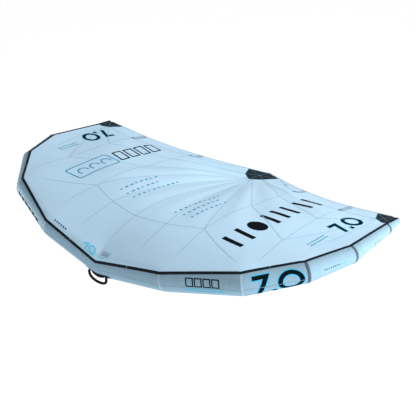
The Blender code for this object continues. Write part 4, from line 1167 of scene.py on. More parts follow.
class CanopySkin:
    """The canopy between tube and trailing edge. A place is x and y in plan; lift is above the cloth's top.

    Attributes:
        fan: how far behind the nose the gores' seams meet.
        gore_angles: degrees of those seams from the middle.
        gore_swell: height of the ridge across a gore.
        half_swell: height of the rise of each half.
    """

    fan: float = 2.17
    gore_angles: tuple[float, ...] = (0.0, 11.0, 23.0, 36.0, 54.0, 85.0)
    gore_swell: float = 0.006
    half_swell: float = 0.036

    def __init__(self, plan: WingPlan, tube: TubeSkin) -> None:
        """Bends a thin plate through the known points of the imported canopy.

        Args:
            plan: the wing's sizes.
            tube: the leading edge.
        """
        self.plan, self.tube = plan, tube
        count = plan.counts(plan.known_columns)
        leave, edge = self.leave_points(count, False), self.edge_points(count)
        guides = leave + self.leave_ways(count) * (plan.leave_run * tube.radius(count))[:, None]
        crown = np.array(plan.crown) * (plan.half_span, plan.root_chord, plan.rise)
        known = np.concatenate([leave, guides, edge, crown])
        known = np.concatenate([known, known[known[:, 0] > 0.0] * (-1.0, 1.0, 1.0)])
        self.knots = known[:, :2] / plan.half_span
        size = len(known)
        system = np.zeros((size + 3, size + 3))
        system[:size, :size] = plate_kernel(self.knots, self.knots)
        system[:size, size:] = np.column_stack([np.ones(size), self.knots])
        system[size:, :size] = system[:size, size:].T
        self.weights = np.linalg.solve(system, np.concatenate([known[:, 2], np.zeros(3)]))

    def wrap_points(self, count: Array, share: Array, drawn: bool = True) -> Array:
        """Points of the cloth's underside on the tube.

        Args:
            count: counts of joints.
            share: share of the way from the tape to where the cloth leaves.
            drawn: whether the joints draw it in, as on the finished wing.

        Returns:
            The points.
        """
        tube, plan = self.tube, self.plan
        count = np.asarray(count, float)
        first, last = tube.wrap_degrees(count)
        degrees = first + (last - first) * share
        lift = np.full(np.shape(degrees), plan.cloth_gap)
        if not drawn:
            step, radius = np.radians((last - first) / (plan.known_wrap_rows - 1) / 2.0), tube.radius(count)
            lift = (radius + plan.cloth_gap) / np.cos(step) - radius + tube.drawn_in(count, degrees)
        return tube.place(count, degrees, lift)

    def leave_points(self, count: Array, drawn: bool = True) -> Array:
        """Where the canopy leaves the tube."""
        return self.wrap_points(count, np.ones(np.shape(count)), drawn)

    def leave_ways(self, count: Array) -> Array:
        """Directions in which the canopy leaves the tube, for the right half.

        Args:
            count: counts of joints.

        Returns:
            The directions.
        """
        tube = self.tube
        angle = np.radians(tube.at_joints(count, self.plan.leave_angles))[:, None]
        panel, share, _ = tube.split(count)
        ways = (tube.upward, tube.inboard)
        upward, inboard = (way[panel] + (way[panel + 1] - way[panel]) * share[:, None] for way in ways)
        return unit(np.cos(angle) * inboard - np.sin(angle) * upward)

    def edge_points(self, count: Array) -> Array:
        """Trailing edge, by natural curves through its knots.

        Args:
            count: counts of joints.

        Returns:
            The points.
        """
        plan = self.plan
        span = self.tube.at_joints(count, np.array(plan.te_stations) * plan.half_span)
        knots = np.array(plan.te_span) * plan.half_span
        reach = plan.tip_sweep + np.array(plan.te_reach) * (plan.root_chord - plan.tip_sweep)
        rise = np.array(plan.te_rise) * plan.rise
        side = np.where(np.asarray(count) < 0.0, -1.0, 1.0)
        return np.stack([span * side, natural_curve(knots, reach, span), natural_curve(knots, rise, span)], -1)

    def billow(self, x: Array, y: Array) -> Array:
        """How far the cloth stands up between the seams that fan out of the rear patch.

        It is a low rounded ridge across each gore, plus a rise from the middle to each half, and both
        die out at the patch, at the leading edge and beside the trailing edge.

        Args:
            x: distances to the right.
            y: distances behind the nose.

        Returns:
            The heights.
        """
        reach = np.hypot(x, y - self.fan)
        angle = np.degrees(np.arctan2(np.abs(x), self.fan - y))
        gore = np.interp(angle, self.gore_angles, range(len(self.gore_angles)))
        fade = ease(reach, 0.12, 0.75) * (1.0 - ease(reach, 1.30, 1.88)) * (1.0 - ease(angle, 58.0, 76.0))
        return (self.gore_swell * np.sin(math.pi * gore) ** 2 + self.half_swell * ease(angle, 6.0, 30.0)) * fade

    def height(self, x: Array, y: Array) -> Array:
        """Height of the cloth's underside: the bent plate plus the billow of the gores.

        Args:
            x: distances to the right.
            y: distances behind the nose.

        Returns:
            The heights.
        """
        shape = np.shape(x)
        x, y = np.ravel(x), np.ravel(y)
        plan = np.stack([x, y], 1) / self.plan.half_span
        plate = plate_kernel(plan, self.knots) @ self.weights[:-3]
        plate += np.column_stack([np.ones(len(plan)), plan]) @ self.weights[-3:]
        return (plate + self.billow(x, y)).reshape(shape)

    def normal(self, x: Array, y: Array) -> Array:
        """Upward direction, from the heights a little to each side.

        Args:
            x: distances to the right.
            y: distances behind the nose.

        Returns:
            The directions.
        """
        step = 0.002
        slope_x = (self.height(x + step, y) - self.height(x - step, y)) / (2.0 * step)
        slope_y = (self.height(x, y + step) - self.height(x, y - step)) / (2.0 * step)
        return unit(np.stack([-slope_x, -slope_y, np.ones(np.shape(x))], -1))

    def place(self, first: Array, second: Array, lift: Array | float = 0.0) -> Array:
        """Points over the cloth: the underside plus the cloth and the lift along the upward direction.

        Args:
            first: distances to the right.
            second: distances behind the nose.
            lift: height over the cloth's top.

        Returns:
            The points.
        """
        x, y, lift = np.broadcast_arrays(np.asarray(first, float), np.asarray(second, float), lift)
        foot = np.stack([x, y, self.height(x, y)], -1)
        return foot + self.normal(x, y) * (self.plan.cloth + lift)[..., None]

    def scale(self, first: Array, second: Array) -> tuple[Array, Array]:
        """Both numbers are metres already."""
        return np.ones(np.shape(first)), np.ones(np.shape(first))


class StrutSkin:
    """The centre strut. A place is the distance behind the nose, and degrees round it from its top to the right.

    Attributes:
        front_radius: its radius at the first row; body and tail radius likewise.
        first_row: the canopy row where it starts.
        full_row: where it has its full radius.
        taper_row: where it starts to taper.
        last_row: where it ends.
        drops: how far its first rows hang below the canopy.
        saddle_gap: clearance between its front end and the leading edge.
    """

    front_radius, body_radius, tail_radius = 0.066, 0.072, 0.034
    first_row, full_row, taper_row, last_row = 1, 4, 6, 10
    drops: tuple[float, ...] = (0.085, 0.0442, 0.0119)
    saddle_gap: float = 0.0009

    def __init__(self, plan: WingPlan, canopy: CanopySkin) -> None:
        """Hangs the strut's middle line under the canopy's.

        Args:
            plan: the wing's sizes.
            canopy: the canopy over it.
        """
        self.plan, self.tube = plan, canopy.tube
        leave, edge = canopy.leave_points(np.zeros(1), False)[0], canopy.edge_points(np.zeros(1))[0]
        y = leave[1] + ((edge[1] - leave[1]) - plan.hem_width) * np.array(plan.chord_rows)
        zero = np.zeros(len(y))
        line = np.stack([zero, y, canopy.height(zero, y)], 1)
        slope = unit(np.gradient(line, axis=0))
        down = np.stack([zero, slope[:, 2], -slope[:, 1]], 1)
        rows = [self.first_row, self.full_row, self.taper_row, self.last_row]
        sizes = [self.front_radius, self.body_radius, self.body_radius, self.tail_radius]
        self.radii = np.interp(np.arange(len(line)), rows, sizes)
        self.roof = line - Z * plan.cloth_gap
        self.axis = line + down * (plan.cloth_gap + self.radii)[:, None]
        self.axis[self.first_row : self.first_row + len(self.drops), 2] -= self.drops
        self.along = unit(np.gradient(self.axis[self.first_row : self.last_row + 1], axis=0))
        self.upward = np.stack([np.zeros(len(self.along)), -self.along[:, 2], self.along[:, 1]], 1)

    def ring(self, row: Array, degrees: Array, extra: Array | float = 0.0) -> Array:
        """Points round the strut at whole rows: the middle plus its radius times the spoke.

        Args:
            row: row numbers.
            degrees: places round the strut.
            extra: how much is added to the radius.

        Returns:
            The points.
        """
        angle = np.radians(degrees)[..., None]
        spoke = np.cos(angle) * self.upward[row - self.first_row] + np.sin(angle) * X
        return self.axis[row] + (self.radii[row] + extra)[..., None] * spoke

    def between(self, row: Array, degrees: Array, extra: Array | float = 0.0) -> Array:
        """Points round the strut between rows, by straight lines.

        Args:
            row: row numbers with their shares of the next one.
            degrees: places round the strut.
            extra: how much is added to the radius.

        Returns:
            The points.
        """
        row, degrees, extra = np.broadcast_arrays(np.asarray(row, float), np.asarray(degrees, float), extra)
        cell = np.clip(row.astype(int), self.first_row, self.last_row - 1)
        near, far = self.ring(cell, degrees, extra), self.ring(cell + 1, degrees, extra)
        return near + (far - near) * (row - cell)[..., None]

    def row_at(self, reach: Array) -> Array:
        """Row number, with its share of the next one, at a distance behind the nose."""
        return np.interp(reach, self.axis[:, 1], np.arange(len(self.axis)))

    def place(self, first: Array, second: Array, lift: Array | float = 0.0) -> Array:
        """Points round the strut at distances behind the nose."""
        return self.between(self.row_at(first), second, lift)

    def spot(self, reach: float, degrees: float, lift: float = 0.0) -> Array:
        """One point of place."""
        return self.place(np.array([reach]), np.array([degrees]), lift)[0]

    def scale(self, first: Array, second: Array) -> tuple[Array, Array]:
        """Metres behind the nose, and length of an arc for a degree."""
        radius = np.interp(self.row_at(first), np.arange(len(self.radii)), self.radii)
        return np.ones(np.shape(first)), np.radians(radius)

    def facing(self, reach: float, degrees: float, half: float) -> Array:
        """Outward direction of the casing over a small square.

        Args:
            reach: the square's distance behind the nose.
            degrees: its place round the strut.
            half: half its side.

        Returns:
            The direction.
        """
        turn = math.degrees(half / self.body_radius)
        ahead = self.spot(reach + half, degrees) - self.spot(reach - half, degrees)
        return unit(np.cross(ahead, self.spot(reach, degrees + turn) - self.spot(reach, degrees - turn)))

    def saddle(self, degrees: Array, extra: float, gap: float) -> Array:
        """The front end carried on along each line of the casing until it meets the leading edge.

        Args:
            degrees: places round the strut.
            extra: how much is added to its radius.
            gap: clearance from the leading edge, found by halving the way again and again.

        Returns:
            The points.
        """
        row = np.full(len(degrees), self.first_row)
        near = self.ring(row, degrees, extra)
        ahead = unit(near - self.ring(row + 1, degrees, extra))
        low, high = np.zeros(len(near)), np.full(len(near), self.plan.nose_radius)
        for _ in range(40):
            guess = (low + high) / 2.0
            inside = self.tube_distance(near + ahead * guess[:, None]) < gap
            high, low = np.where(inside, guess, high), np.where(inside, low, guess)
        return near + ahead * low[:, None]

    def tube_distance(self, points: Array) -> Array:
        """Distance from the leading edge's casing near the nose.

        Args:
            points: the points.

        Returns:
            Their distances, below zero inside.
        """
        axis, radii = self.tube.axis, self.tube.radii
        share = np.abs(points[:, 0]) / axis[1][0]
        middle = axis[0][1:] + (axis[1][1:] - axis[0][1:]) * share[:, None]
        return np.linalg.norm(points[:, 1:] - middle, axis=1) - radii[0] - (radii[1] - radii[0]) * share


# Strips and pads that lie on a skin


def strip(
    skin: Skin,
    path: Array | Sequence[Place],
    width: Array | float,
    lift: float,
    thickness: float,
    columns: int = 3,
    closed: bool = False,
) -> Shell:
    """A thin strip along a line on a skin.

    Each point is the line's, moved across by its share of half the width, square to the line in metres,
    with corners mitred, then lifted off the skin.

    Args:
        skin: what it lies on.
        path: places of its middle line, one a row.
        width: its width, or one for each place.
        lift: height of its underside.
        thickness: its thickness.
        columns: points across it.
        closed: whether the line joins its own start.

    Returns:
        The strip as a closed skin.
    """
    path = np.asarray(path, float)
    if closed:
        path = np.concatenate([path, path[:1]])
    scale = np.stack(skin.scale(path[:, 0], path[:, 1]), 1)
    legs = unit(np.diff(path, axis=0) * (scale[:-1] + scale[1:]) / 2.0)
    before = np.concatenate([legs[-1:] if closed else legs[:1], legs])
    after = np.concatenate([legs, legs[:1] if closed else legs[-1:]])
    along = unit(before + after)
    across = np.stack([-along[:, 1], along[:, 0]], 1)
    mitre = 1.0 / np.maximum((along * after).sum(1), 0.5)
    half = np.broadcast_to(width, (len(path),)) / 2.0
    reach = np.linspace(-1.0, 1.0, columns)
    offset = reach[None, :, None] * ((half * mitre)[:, None] * across)[:, None, :] / scale[:, None, :]
    spot = path[:, None, :] + offset
    top, low = (skin.place(spot[..., 0], spot[..., 1], height) for height in (lift + thickness, lift))
    run = run_of(top[:, columns // 2])
    places = np.stack(np.broadcast_arrays(run[:, None], half[:, None] * reach[None, :]), 2)
    if closed:
        top, low, places = top[:-1].swapaxes(0, 1), low[:-1].swapaxes(0, 1), places.swapaxes(0, 1)
    return wall(top, low, places, closed)


def pad(skin: Skin, outline: Array, lift: float, thickness: float, rings: int = 8, crown: float = 0.0) -> Shell:
    """A thin plate inside an outline on a skin, by rings that shrink towards the outline's middle.

    Its texture place is the distance along the edge and the distance in from it.

    Args:
        skin: what it lies on.
        outline: places of its edge, one a row, not closed.
        lift: height of its underside.
        thickness: its thickness.
        rings: rings from the edge to the middle.
        crown: extra height in the middle.

    Returns:
        The plate as a closed skin.
    """
    outline = np.asarray(outline, float)
    middle = (outline.min(0) + outline.max(0)) / 2.0
    share = np.linspace(1.0, 0.0, rings + 1) ** 0.8
    spot = middle + (outline - middle)[None] * share[:, None, None]
    rise = (crown * (1.0 - share**3))[:, None]
    top = skin.place(spot[..., 0], spot[..., 1], lift + thickness + rise)
    low = skin.place(spot[..., 0], spot[..., 1], lift)
    edge = np.concatenate([top[0], top[0][:1]])
    inward = (1.0 - share)[:, None] * np.linalg.norm(edge - top[-1, 0], axis=1).min()
    return lens(top, low, np.stack(np.broadcast_arrays(run_of(edge)[None], inward), 2))


# Leading edge


@dataclass(frozen=True)
class LeadingEdge:
    """The air tube: twelve casing panels with their joints, bands, closing seam and bladder.

    Attributes:
        sides: points round a panel.
        row_step: distance between its rings.
        joint_width: width of the sewn joints' tape.
        band_width: width of the dark bands.
        band_joints: joints that have a band.
        band_end: where a band ends under the canopy.
        band_tape_gap: clearance between a band and the canopy's tape.
        close_degrees: where the closing seam runs along the underside.
        stitch_degrees: where the stitched line runs along the front of the inner panels.
        stitched_panels: how many panels have that line.
        dome_length: length of the rounded end at the tip.
        dome_share: how much of the quarter turn the rounded end takes before it closes.
    """

    skin: TubeSkin
    sides: int = 104
    row_step: float = 0.016
    joint_width: float = 0.016
    joint_thickness: float = 0.0004
    band_width: float = 0.024
    band_thickness: float = 0.0010
    band_joints: tuple[int, ...] = (3, 4, 5)
    band_end: float = 80.0
    band_tape_gap: float = 0.008
    close_degrees: float = 166.0
    close_width: float = 0.016
    stitch_degrees: float = -97.0
    stitch_width: float = 0.0028
    stitch_lift: float = 0.0011
    stitched_panels: int = 3
    seam_thickness: float = 0.0003
    dome_length: float = 0.014
    dome_share: float = 0.90

    def build(self) -> None:
        """Builds the casing panels with what is sewn to them, then the bladder."""
        skin = self.skin
        around = skin.radii * 2 * math.pi
        trims = [self.trims(panel) for panel in range(skin.panels)]
        for side, letter in SIDES:
            for panel, (near, far, length) in enumerate(zip(around, around[1:], skin.lengths)):
                node = f"le_panel_{letter}_{panel + 1}"
                piece = add_piece(f"{node}_cloth", self.panel(panel, side), Look.CASING, node)
                for kind, look, shell in trims[panel]:
                    name = f"le_{kind}_{letter}_{panel + 1}"
                    ends = ("_tape", name) if kind == "band" else ("", "")
                    add_piece(name + ends[0], shell.on_side(side), look, ends[1])
        add_piece("le_bladder_film", self.bladder(), Look.FILM, "le_bladder")

    def trims(self, panel: int) -> list[tuple[str, Look, Shell]]:
        """What is sewn to a right panel.

        Args:
            panel: the panel's number.

        Returns:
            Kind, finish and skin of each.
        """
        made = [("closing_seam", Look.JOINT_SEAM, self.long_seam(panel, self.close_degrees, HAIR, self.close_width))]
        if panel < self.stitched_panels:
            seam = self.long_seam(panel, self.stitch_degrees, self.stitch_lift, self.stitch_width)
            made.append(("front_stitch", Look.STITCH, seam))
        if panel + 1 in self.band_joints:
            band = self.joint_strip(panel + 1, self.band_width, self.skin.plan.cloth_gap, self.band_thickness)
            made.append(("band", Look.BAND, band))
        elif panel + 1 < min(self.band_joints):
            joint = self.joint_strip(panel + 1, self.joint_width, HAIR, self.joint_thickness)
            made.append(("joint", Look.JOINT_SEAM, joint))
        return made

    def panel(self, panel: int, side: float) -> Shell:
        """A casing panel: rings along straight lines between two joints, and a rounded end at the tip.

        Args:
            panel: the panel's number.
            side: 1 for the right wing, -1 for the left.

        Returns:
            The panel's wall.
        """
        length = self.skin.lengths[panel]
        trim = self.skin.plan.touch / 2.0 / length
        share = np.linspace(trim, 1.0 - trim, int(length / self.row_step))
        degrees = turn_degrees(self.sides)
        tip, walls = panel == self.skin.panels - 1, []
        for lift in (0.0, -self.skin.plan.casing_wall):
            rings = self.skin.place(panel + share[:, None], degrees[None, :], lift)
            if tip:
                rings = np.concatenate([rings, self.dome(degrees, lift)])
            walls.append(rings * (side, 1.0, 1.0))
        return cup(*walls) if tip else pipe(*walls)

    def dome(self, degrees: Array, lift: float) -> Array:
        """Rings of the rounded tip: spokes times the cosine, and the end's length times the sine.

        Args:
            degrees: places round the tube.
            lift: height over the casing.

        Returns:
            The rings.
        """
        skin, last = self.skin, self.skin.panels
        spokes = skin.ring(np.full(len(degrees), last), degrees, lift) - skin.axis[last]
        angle = (np.linspace(0.0, self.dome_share, 9)[1:] * math.pi / 2.0)[:, None, None]
        return skin.axis[last] + spokes * np.cos(angle) + skin.along[last] * (self.dome_length + lift) * np.sin(angle)

    def joint_strip(self, joint: int, width: float, lift: float, thickness: float) -> Shell:
        """A strip round a joint, from under the canopy round the underside to the canopy's tape.

        Args:
            joint: the joint's number.
            width: its width.
            lift: height of its underside.
            thickness: its thickness.

        Returns:
            The strip.
        """
        skin = self.skin
        arc = math.degrees((skin.plan.tape_width / 2.0 + self.band_tape_gap) / skin.radii[joint])
        degrees = np.linspace(self.band_end, 360.0 + skin.plan.seam_angles[joint] - arc, 90)[:, None]
        reach = (np.linspace(-1.0, 1.0, 7) * width / 2.0)[None, :]
        count = joint + reach / np.where(reach < 0.0, skin.lengths[joint - 1], skin.lengths[joint])
        top, low = (skin.place(count, degrees, height) for height in (lift + thickness, lift))
        run = np.radians(degrees - degrees[0]) * skin.radii[joint]
        return wall(top, low, np.stack(np.broadcast_arrays(run, reach), 2))

    def long_seam(self, panel: int, degrees: float, lift: float, width: float) -> Shell:
        """A sewn line along a panel.

        Args:
            panel: the panel's number.
            degrees: its place round the tube.
            lift: height of its underside.
            width: its width.

        Returns:
            The seam.
        """
        share = np.linspace(0.03, 0.97, int(self.skin.lengths[panel] / 0.02))
        path = np.stack([panel + share, np.full(len(share), degrees)], 1)
        return strip(self.skin, path, width, lift, self.seam_thickness)

    def bladder(self) -> Shell:
        """The air tube inside, from tip to tip, with a ring at every joint."""
        ends, plan = self.skin.panels, self.skin.plan
        count = np.linspace(-ends, ends, 20 * ends + 1)
        return rod(self.skin.place(count[:, None], turn_degrees(48)[None, :], -plan.casing_wall - plan.touch))


# Canopy


@dataclass(frozen=True)
class Canopy:
    """The canopy cloth with its tape, hem and panel seams.

    Attributes:
        columns: columns of the cloth over each panel of the tube.
        wrap_rows: rows on the tube.
        chord_rows: rows from the tube to the trailing edge.
        row_power: power that draws the rows towards the tube.
        seam_width: width of the seams between the cloth's panels.
        seam_step: distance between a seam's samples.
        tape_front: how far the tape reaches in front of the canopy's seam.
        marks: counts of joints where the tape has a pale stitch.
        flat: the cloth's flat size, with its area in flat_area; neither is used.
    """

    skin: CanopySkin
    columns: tuple[int, ...] = (46, 40, 28, 22, 22, 8)
    wrap_rows: int = 7
    chord_rows: int = 112
    row_power: float = 1.22
    seam_width: float = 0.006
    seam_step: float = 0.014
    seam_lift: float = 0.0003
    seam_thickness: float = 0.0005
    tape_thickness: float = 0.0014
    tape_front: float = 0.0155
    marks: tuple[float, ...] = (-2.45, -0.505, 0.505, 2.45)
    mark_length: float = 0.014
    mark_width: float = 0.004
    mark_thickness: float = 0.0004
    hem_thickness: float = 0.0024
    flat: Place = (3.44, 2.46)
    flat_area: float = 5.45

    def build(self, on_it: Sequence[bpy.types.Object]) -> None:
        """Builds the cloth and what is sewn along its edges.

        Args:
            on_it: other pieces that go with the cloth; not used.
        """
        grid = self.underside()
        cloth = add_piece("canopy_cloth", self.cloth(grid), Look.CANOPY, "canopy")
        below = -self.skin.plan.cloth - self.seam_thickness - self.seam_lift
        sewn = [
            add_piece("canopy_edge_tape", self.tape(), Look.TAPE, "canopy_seam_tape"),
            add_piece("canopy_edge_tape_marks", self.tape_marks(), Look.JOINT_SEAM),
            add_piece("trailing_edge_hem_cloth", self.hem(grid), Look.HEM, "trailing_edge_hem"),
            add_piece("canopy_panel_seams", self.seams(self.seam_lift), Look.PANEL_SEAM),
            add_piece("canopy_panel_seams_below", self.seams(below), Look.PANEL_SEAM),
        ]

    def counts(self) -> Array:
        """Counts of joints of the cloth's columns, from the left tip to the right one."""
        right = self.skin.plan.counts(self.columns)
        return np.concatenate([-right[:0:-1], right])

    def underside(self) -> Array:
        """The cloth's underside: rows round the tube, then rows over the bent plate to the hem.

        Beside the tube the plate is moved to meet the wrapped cloth, by a share that dies away.

        Returns:
            Its points, rows by columns.
        """
        skin, count = self.skin, self.counts()
        share = np.linspace(0.0, 1.0, self.wrap_rows)[:, None]
        wrap = skin.wrap_points(count[None, :] + 0.0 * share, share + 0.0 * count[None, :])
        leave, edge = wrap[-1], skin.edge_points(count)
        reach = edge[:, :2] - leave[:, :2]
        reach = reach * (1.0 - skin.plan.hem_width / np.linalg.norm(reach, axis=1, keepdims=True))
        share = (np.linspace(0.0, 1.0, self.chord_rows + 1)[1:] ** self.row_power)[:, None]
        x, y = (leave[None, :, axis] + reach[None, :, axis] * share for axis in (0, 1))
        gap = leave[:, 2] - skin.height(leave[:, 0], leave[:, 1])
        away = share * np.linalg.norm(reach, axis=1)[None, :]
        z = skin.height(x, y) + gap[None, :] * np.exp(-((away / 0.05) ** 2))
        return np.concatenate([wrap, np.stack([x, y, z], 2)])

    def cloth(self, under: Array) -> Shell:
        """The cloth between its underside and the same grid moved out by its thickness."""
        return wall(under + self.skin.plan.cloth * self.normals(under), under, under[..., :2])

    @staticmethod
    def normals(under: Array) -> Array:
        """Outward directions of a grid."""
        return unit(np.cross(np.gradient(under, axis=1), np.gradient(under, axis=0)))

    def tape(self) -> Shell:
        """The black tape along the canopy's front edge, from tip to tip.

        Returns:
            The tape: the seam's line, with each column moved across by a length.
        """
        tube, plan, count = self.skin.tube, self.skin.plan, self.counts()[:, None]
        reach = np.linspace(-self.tape_front, plan.tape_width / 2.0, 5)[None, :]
        degrees = tube.seam_degrees(count) + np.degrees(reach / tube.radius(count))
        top, low = (tube.place(count, degrees, plan.cloth_gap + high) for high in (self.tape_thickness, 0.0))
        return wall(top, low, np.stack(np.broadcast_arrays(run_of(top[:, 2])[:, None], reach), 2))

    def tape_marks(self) -> list[Shell]:
        """Short pale stitches across the tape, where sail and casing are matched up.

        Returns:
            The stitches.
        """
        tube, lift = self.skin.tube, self.skin.plan.cloth_gap + self.tape_thickness + HAIR
        shells = []
        for count in self.marks:
            half = math.degrees(self.mark_length / 2.0 / float(tube.radius(count)))
            degrees = float(tube.seam_degrees(count)) + np.linspace(-half, half, 4)
            path = np.stack([np.full(4, count), degrees], 1)
            shells.append(strip(tube, path, self.mark_width, lift, self.mark_thickness))
        return shells

    def hem(self, under: Array) -> Shell:
        """A folded strip along the trailing edge, rounded at its rear edge.

        Args:
            under: the cloth's underside.

        Returns:
            The hem: a flat outline with a half circle behind, carried along the edge.
        """
        plan, half = self.skin.plan, self.hem_thickness / 2.0
        back, normal = unit(under[-1] - under[-2]), self.normals(under[-3:])[-1]
        middle = under[-1] + normal * plan.cloth / 2.0
        turn = np.linspace(-0.5, 0.5, 7)[1:-1] * math.pi
        flat = np.linspace(plan.touch, plan.hem_width - half, 4)
        reach = np.concatenate([flat, flat[-1] + half * np.cos(turn), flat[::-1]])
        rise = np.concatenate([np.full(4, -half), half * np.sin(turn), np.full(4, half)])
        return rod(middle[:, None] + back[:, None] * reach[None, :, None] + normal[:, None] * rise[None, :, None])

    def seam_lines(self) -> list[tuple[list[Place], float, float]]:
        """The panel seams of the right half.

        Returns:
            Their middle lines, and the share of their width at start and end.
        """
        n1, n2, n3, n4 = (0.630, 1.247), (0.633, 1.645), (0.624, 0.628), (1.232, 0.844)
        n5, n6, n7, n8 = (1.223, 1.351), (1.233, 1.680), (0.309, 0.522), (0.0, 0.477)
        inner, outer, tip = (0.636, 1.916), (1.241, 1.723), (1.573, 1.693)
        return [
            ([n8, n7, n3], 1.0, 1.0),
            ([n3, n1, n2, inner], 1.0, 1.0),
            ([n4, n5, n6, outer], 1.0, 1.0),
            ([n1, n4], 1.0, 1.0),
            ([n2, n5], 1.0, 1.0),
            ([(0.200, 2.296), inner, n6], 1.0, 1.0),
            ([(0.032, 2.058), n1], 1.0, 1.0),
            ([(0.107, 2.129), n2], 1.0, 1.0),
            ([(0.018, 2.048), (0.300, 1.450), n3], 1.0, 1.0),
            ([(0.009, 2.044), (0.170, 1.300), n7], 1.0, 1.0),
            ([(0.120, 2.146), (0.420, 1.905), (0.636, 1.780)], 1.0, 0.3),
            ([n7, (0.322, 0.320), (0.330, 0.165)], 1.0, 0.15),
            ([n3, (0.650, 0.400), (0.668, 0.225)], 1.0, 0.15),
            ([n3, (0.920, 0.470), (1.150, 0.370)], 1.0, 0.15),
            ([n4, (1.262, 0.620), (1.285, 0.440)], 1.0, 0.15),
            ([n4, (1.420, 1.200), tip], 1.0, 1.0),
            ([n5, (1.420, 1.530), tip], 1.0, 1.0),
            ([n6, (1.420, 1.680), (1.560, 1.700)], 1.0, 1.0),
            ([(1.480, 0.820), (1.560, 1.250), (1.590, 1.672)], 0.15, 1.0),
        ]

    def seams(self, lift: float) -> list[Shell]:
        """Flat sewn seams between the cloth's panels, down the middle and on both halves.

        Args:
            lift: height of their underside.

        Returns:
            The seams, with those of three points drawn as smooth lines.
        """
        lines = [
            ([(0.0, 2.036), (0.0, 1.200), (0.0, 0.477)], 1.0, 1.0, 1.0),
            ([(0.0, 0.477), (0.0, 0.300), (0.0, 0.150)], 1.0, 0.15, 1.0),
        ]
        lines += [(*line, side) for line in self.seam_lines() for side, _ in SIDES]
        made = []
        for line, start, end, side in lines:
            path = (smooth_line if len(line) == 3 else straight_line)(line, self.seam_step)
            share = np.linspace(0.0, 1.0, len(path))
            width = self.seam_width * np.clip(np.minimum(start + share * 3.0, end + (1.0 - share) * 3.0), 0.0, 1.0)
            made.append(strip(self.skin, path * (side, 1.0), width, lift, self.seam_thickness))
        return made


@dataclass(frozen=True)
class CanopyPatches:
    """Black patches at the middle of the trailing edge and at both tips, with their stiffening seams.

    Attributes:
        corner: how far from a corner its curve starts.
        centre: the middle patch's corners, as shares of half span and root chord.
        tip: the right tip patch's corners, as shares of half span and tip sweep.
        centre_ribs: lines of the middle patch's seams.
        tip_ribs: lines of the right tip patch's seams.
    """

    skin: CanopySkin
    lift: float = 0.0008
    thickness: float = 0.0010
    corner: float = 0.004
    rib_width: float = 0.005
    rib_thickness: float = 0.0004
    centre: tuple[Place, ...] = (
        (0.0, 0.842), (0.063, 0.878), (0.109, 0.945), (0.0, 0.988), (-0.109, 0.945), (-0.063, 0.878),
    )
    tip: tuple[Place, ...] = (
        (0.893, 1.0022), (0.925, 0.9256), (0.9765, 0.9020), (0.990, 0.9040), (0.9955, 0.9930), (0.984, 0.9990),
    )
    centre_ribs: tuple[tuple[Place, ...], ...] = (
        ((0.0, 2.052), (0.0, 2.385)),
        ((0.098, 2.140), (0.0, 2.225), (-0.098, 2.140)),
        ((0.176, 2.280), (0.0, 2.225), (-0.176, 2.280)),
    )
    tip_ribs: tuple[tuple[Place, ...], ...] = (((1.590, 1.700), (1.660, 1.800)), ((1.540, 1.812), (1.672, 1.700)))

    def build(self) -> list[bpy.types.Object]:
        """Builds the patches.

        Returns:
            The patches and their seams.
        """
        plan = self.skin.plan
        size = (plan.half_span, plan.root_chord)
        pieces = self.patch("te_centre_patch", self.centre, size, 22, self.centre_ribs, 1.0)
        for side, letter in SIDES:
            size = (side * plan.half_span, plan.tip_sweep)
            pieces += self.patch(f"tip_patch_{letter}", self.tip, size, 12, self.tip_ribs, side)
        return pieces

    def patch(
        self, node: str, corners: Sequence[Place], size: Place, rings: int, ribs: Sequence[Sequence[Place]], side: float
    ) -> list[bpy.types.Object]:
        """A patch with slightly rounded corners, and narrow seams across it.

        Args:
            node: the node that it stands for.
            corners: its corners as shares of a size.
            size: that size.
            rings: rings from its edge to its middle.
            ribs: lines of its seams on the right half.
            side: 1 for the right half, -1 for the left.

        Returns:
            The patch and its seams.
        """
        outline = rounded_outline(np.array(corners) * size, self.corner)
        plate = pad(self.skin, outline, self.lift, self.thickness, rings)
        lift = self.lift + self.thickness + HAIR
        lines = [straight_line(np.array(line) * (side, 1.0), 0.012) for line in ribs]
        seams = [strip(self.skin, line, self.rib_width, lift, self.rib_thickness) for line in lines]
        return [
            add_piece(f"{node}_cloth", plate, Look.PATCH, node),
            add_piece(f"{node}_seams", seams, Look.PATCH_SEAM),
        ]


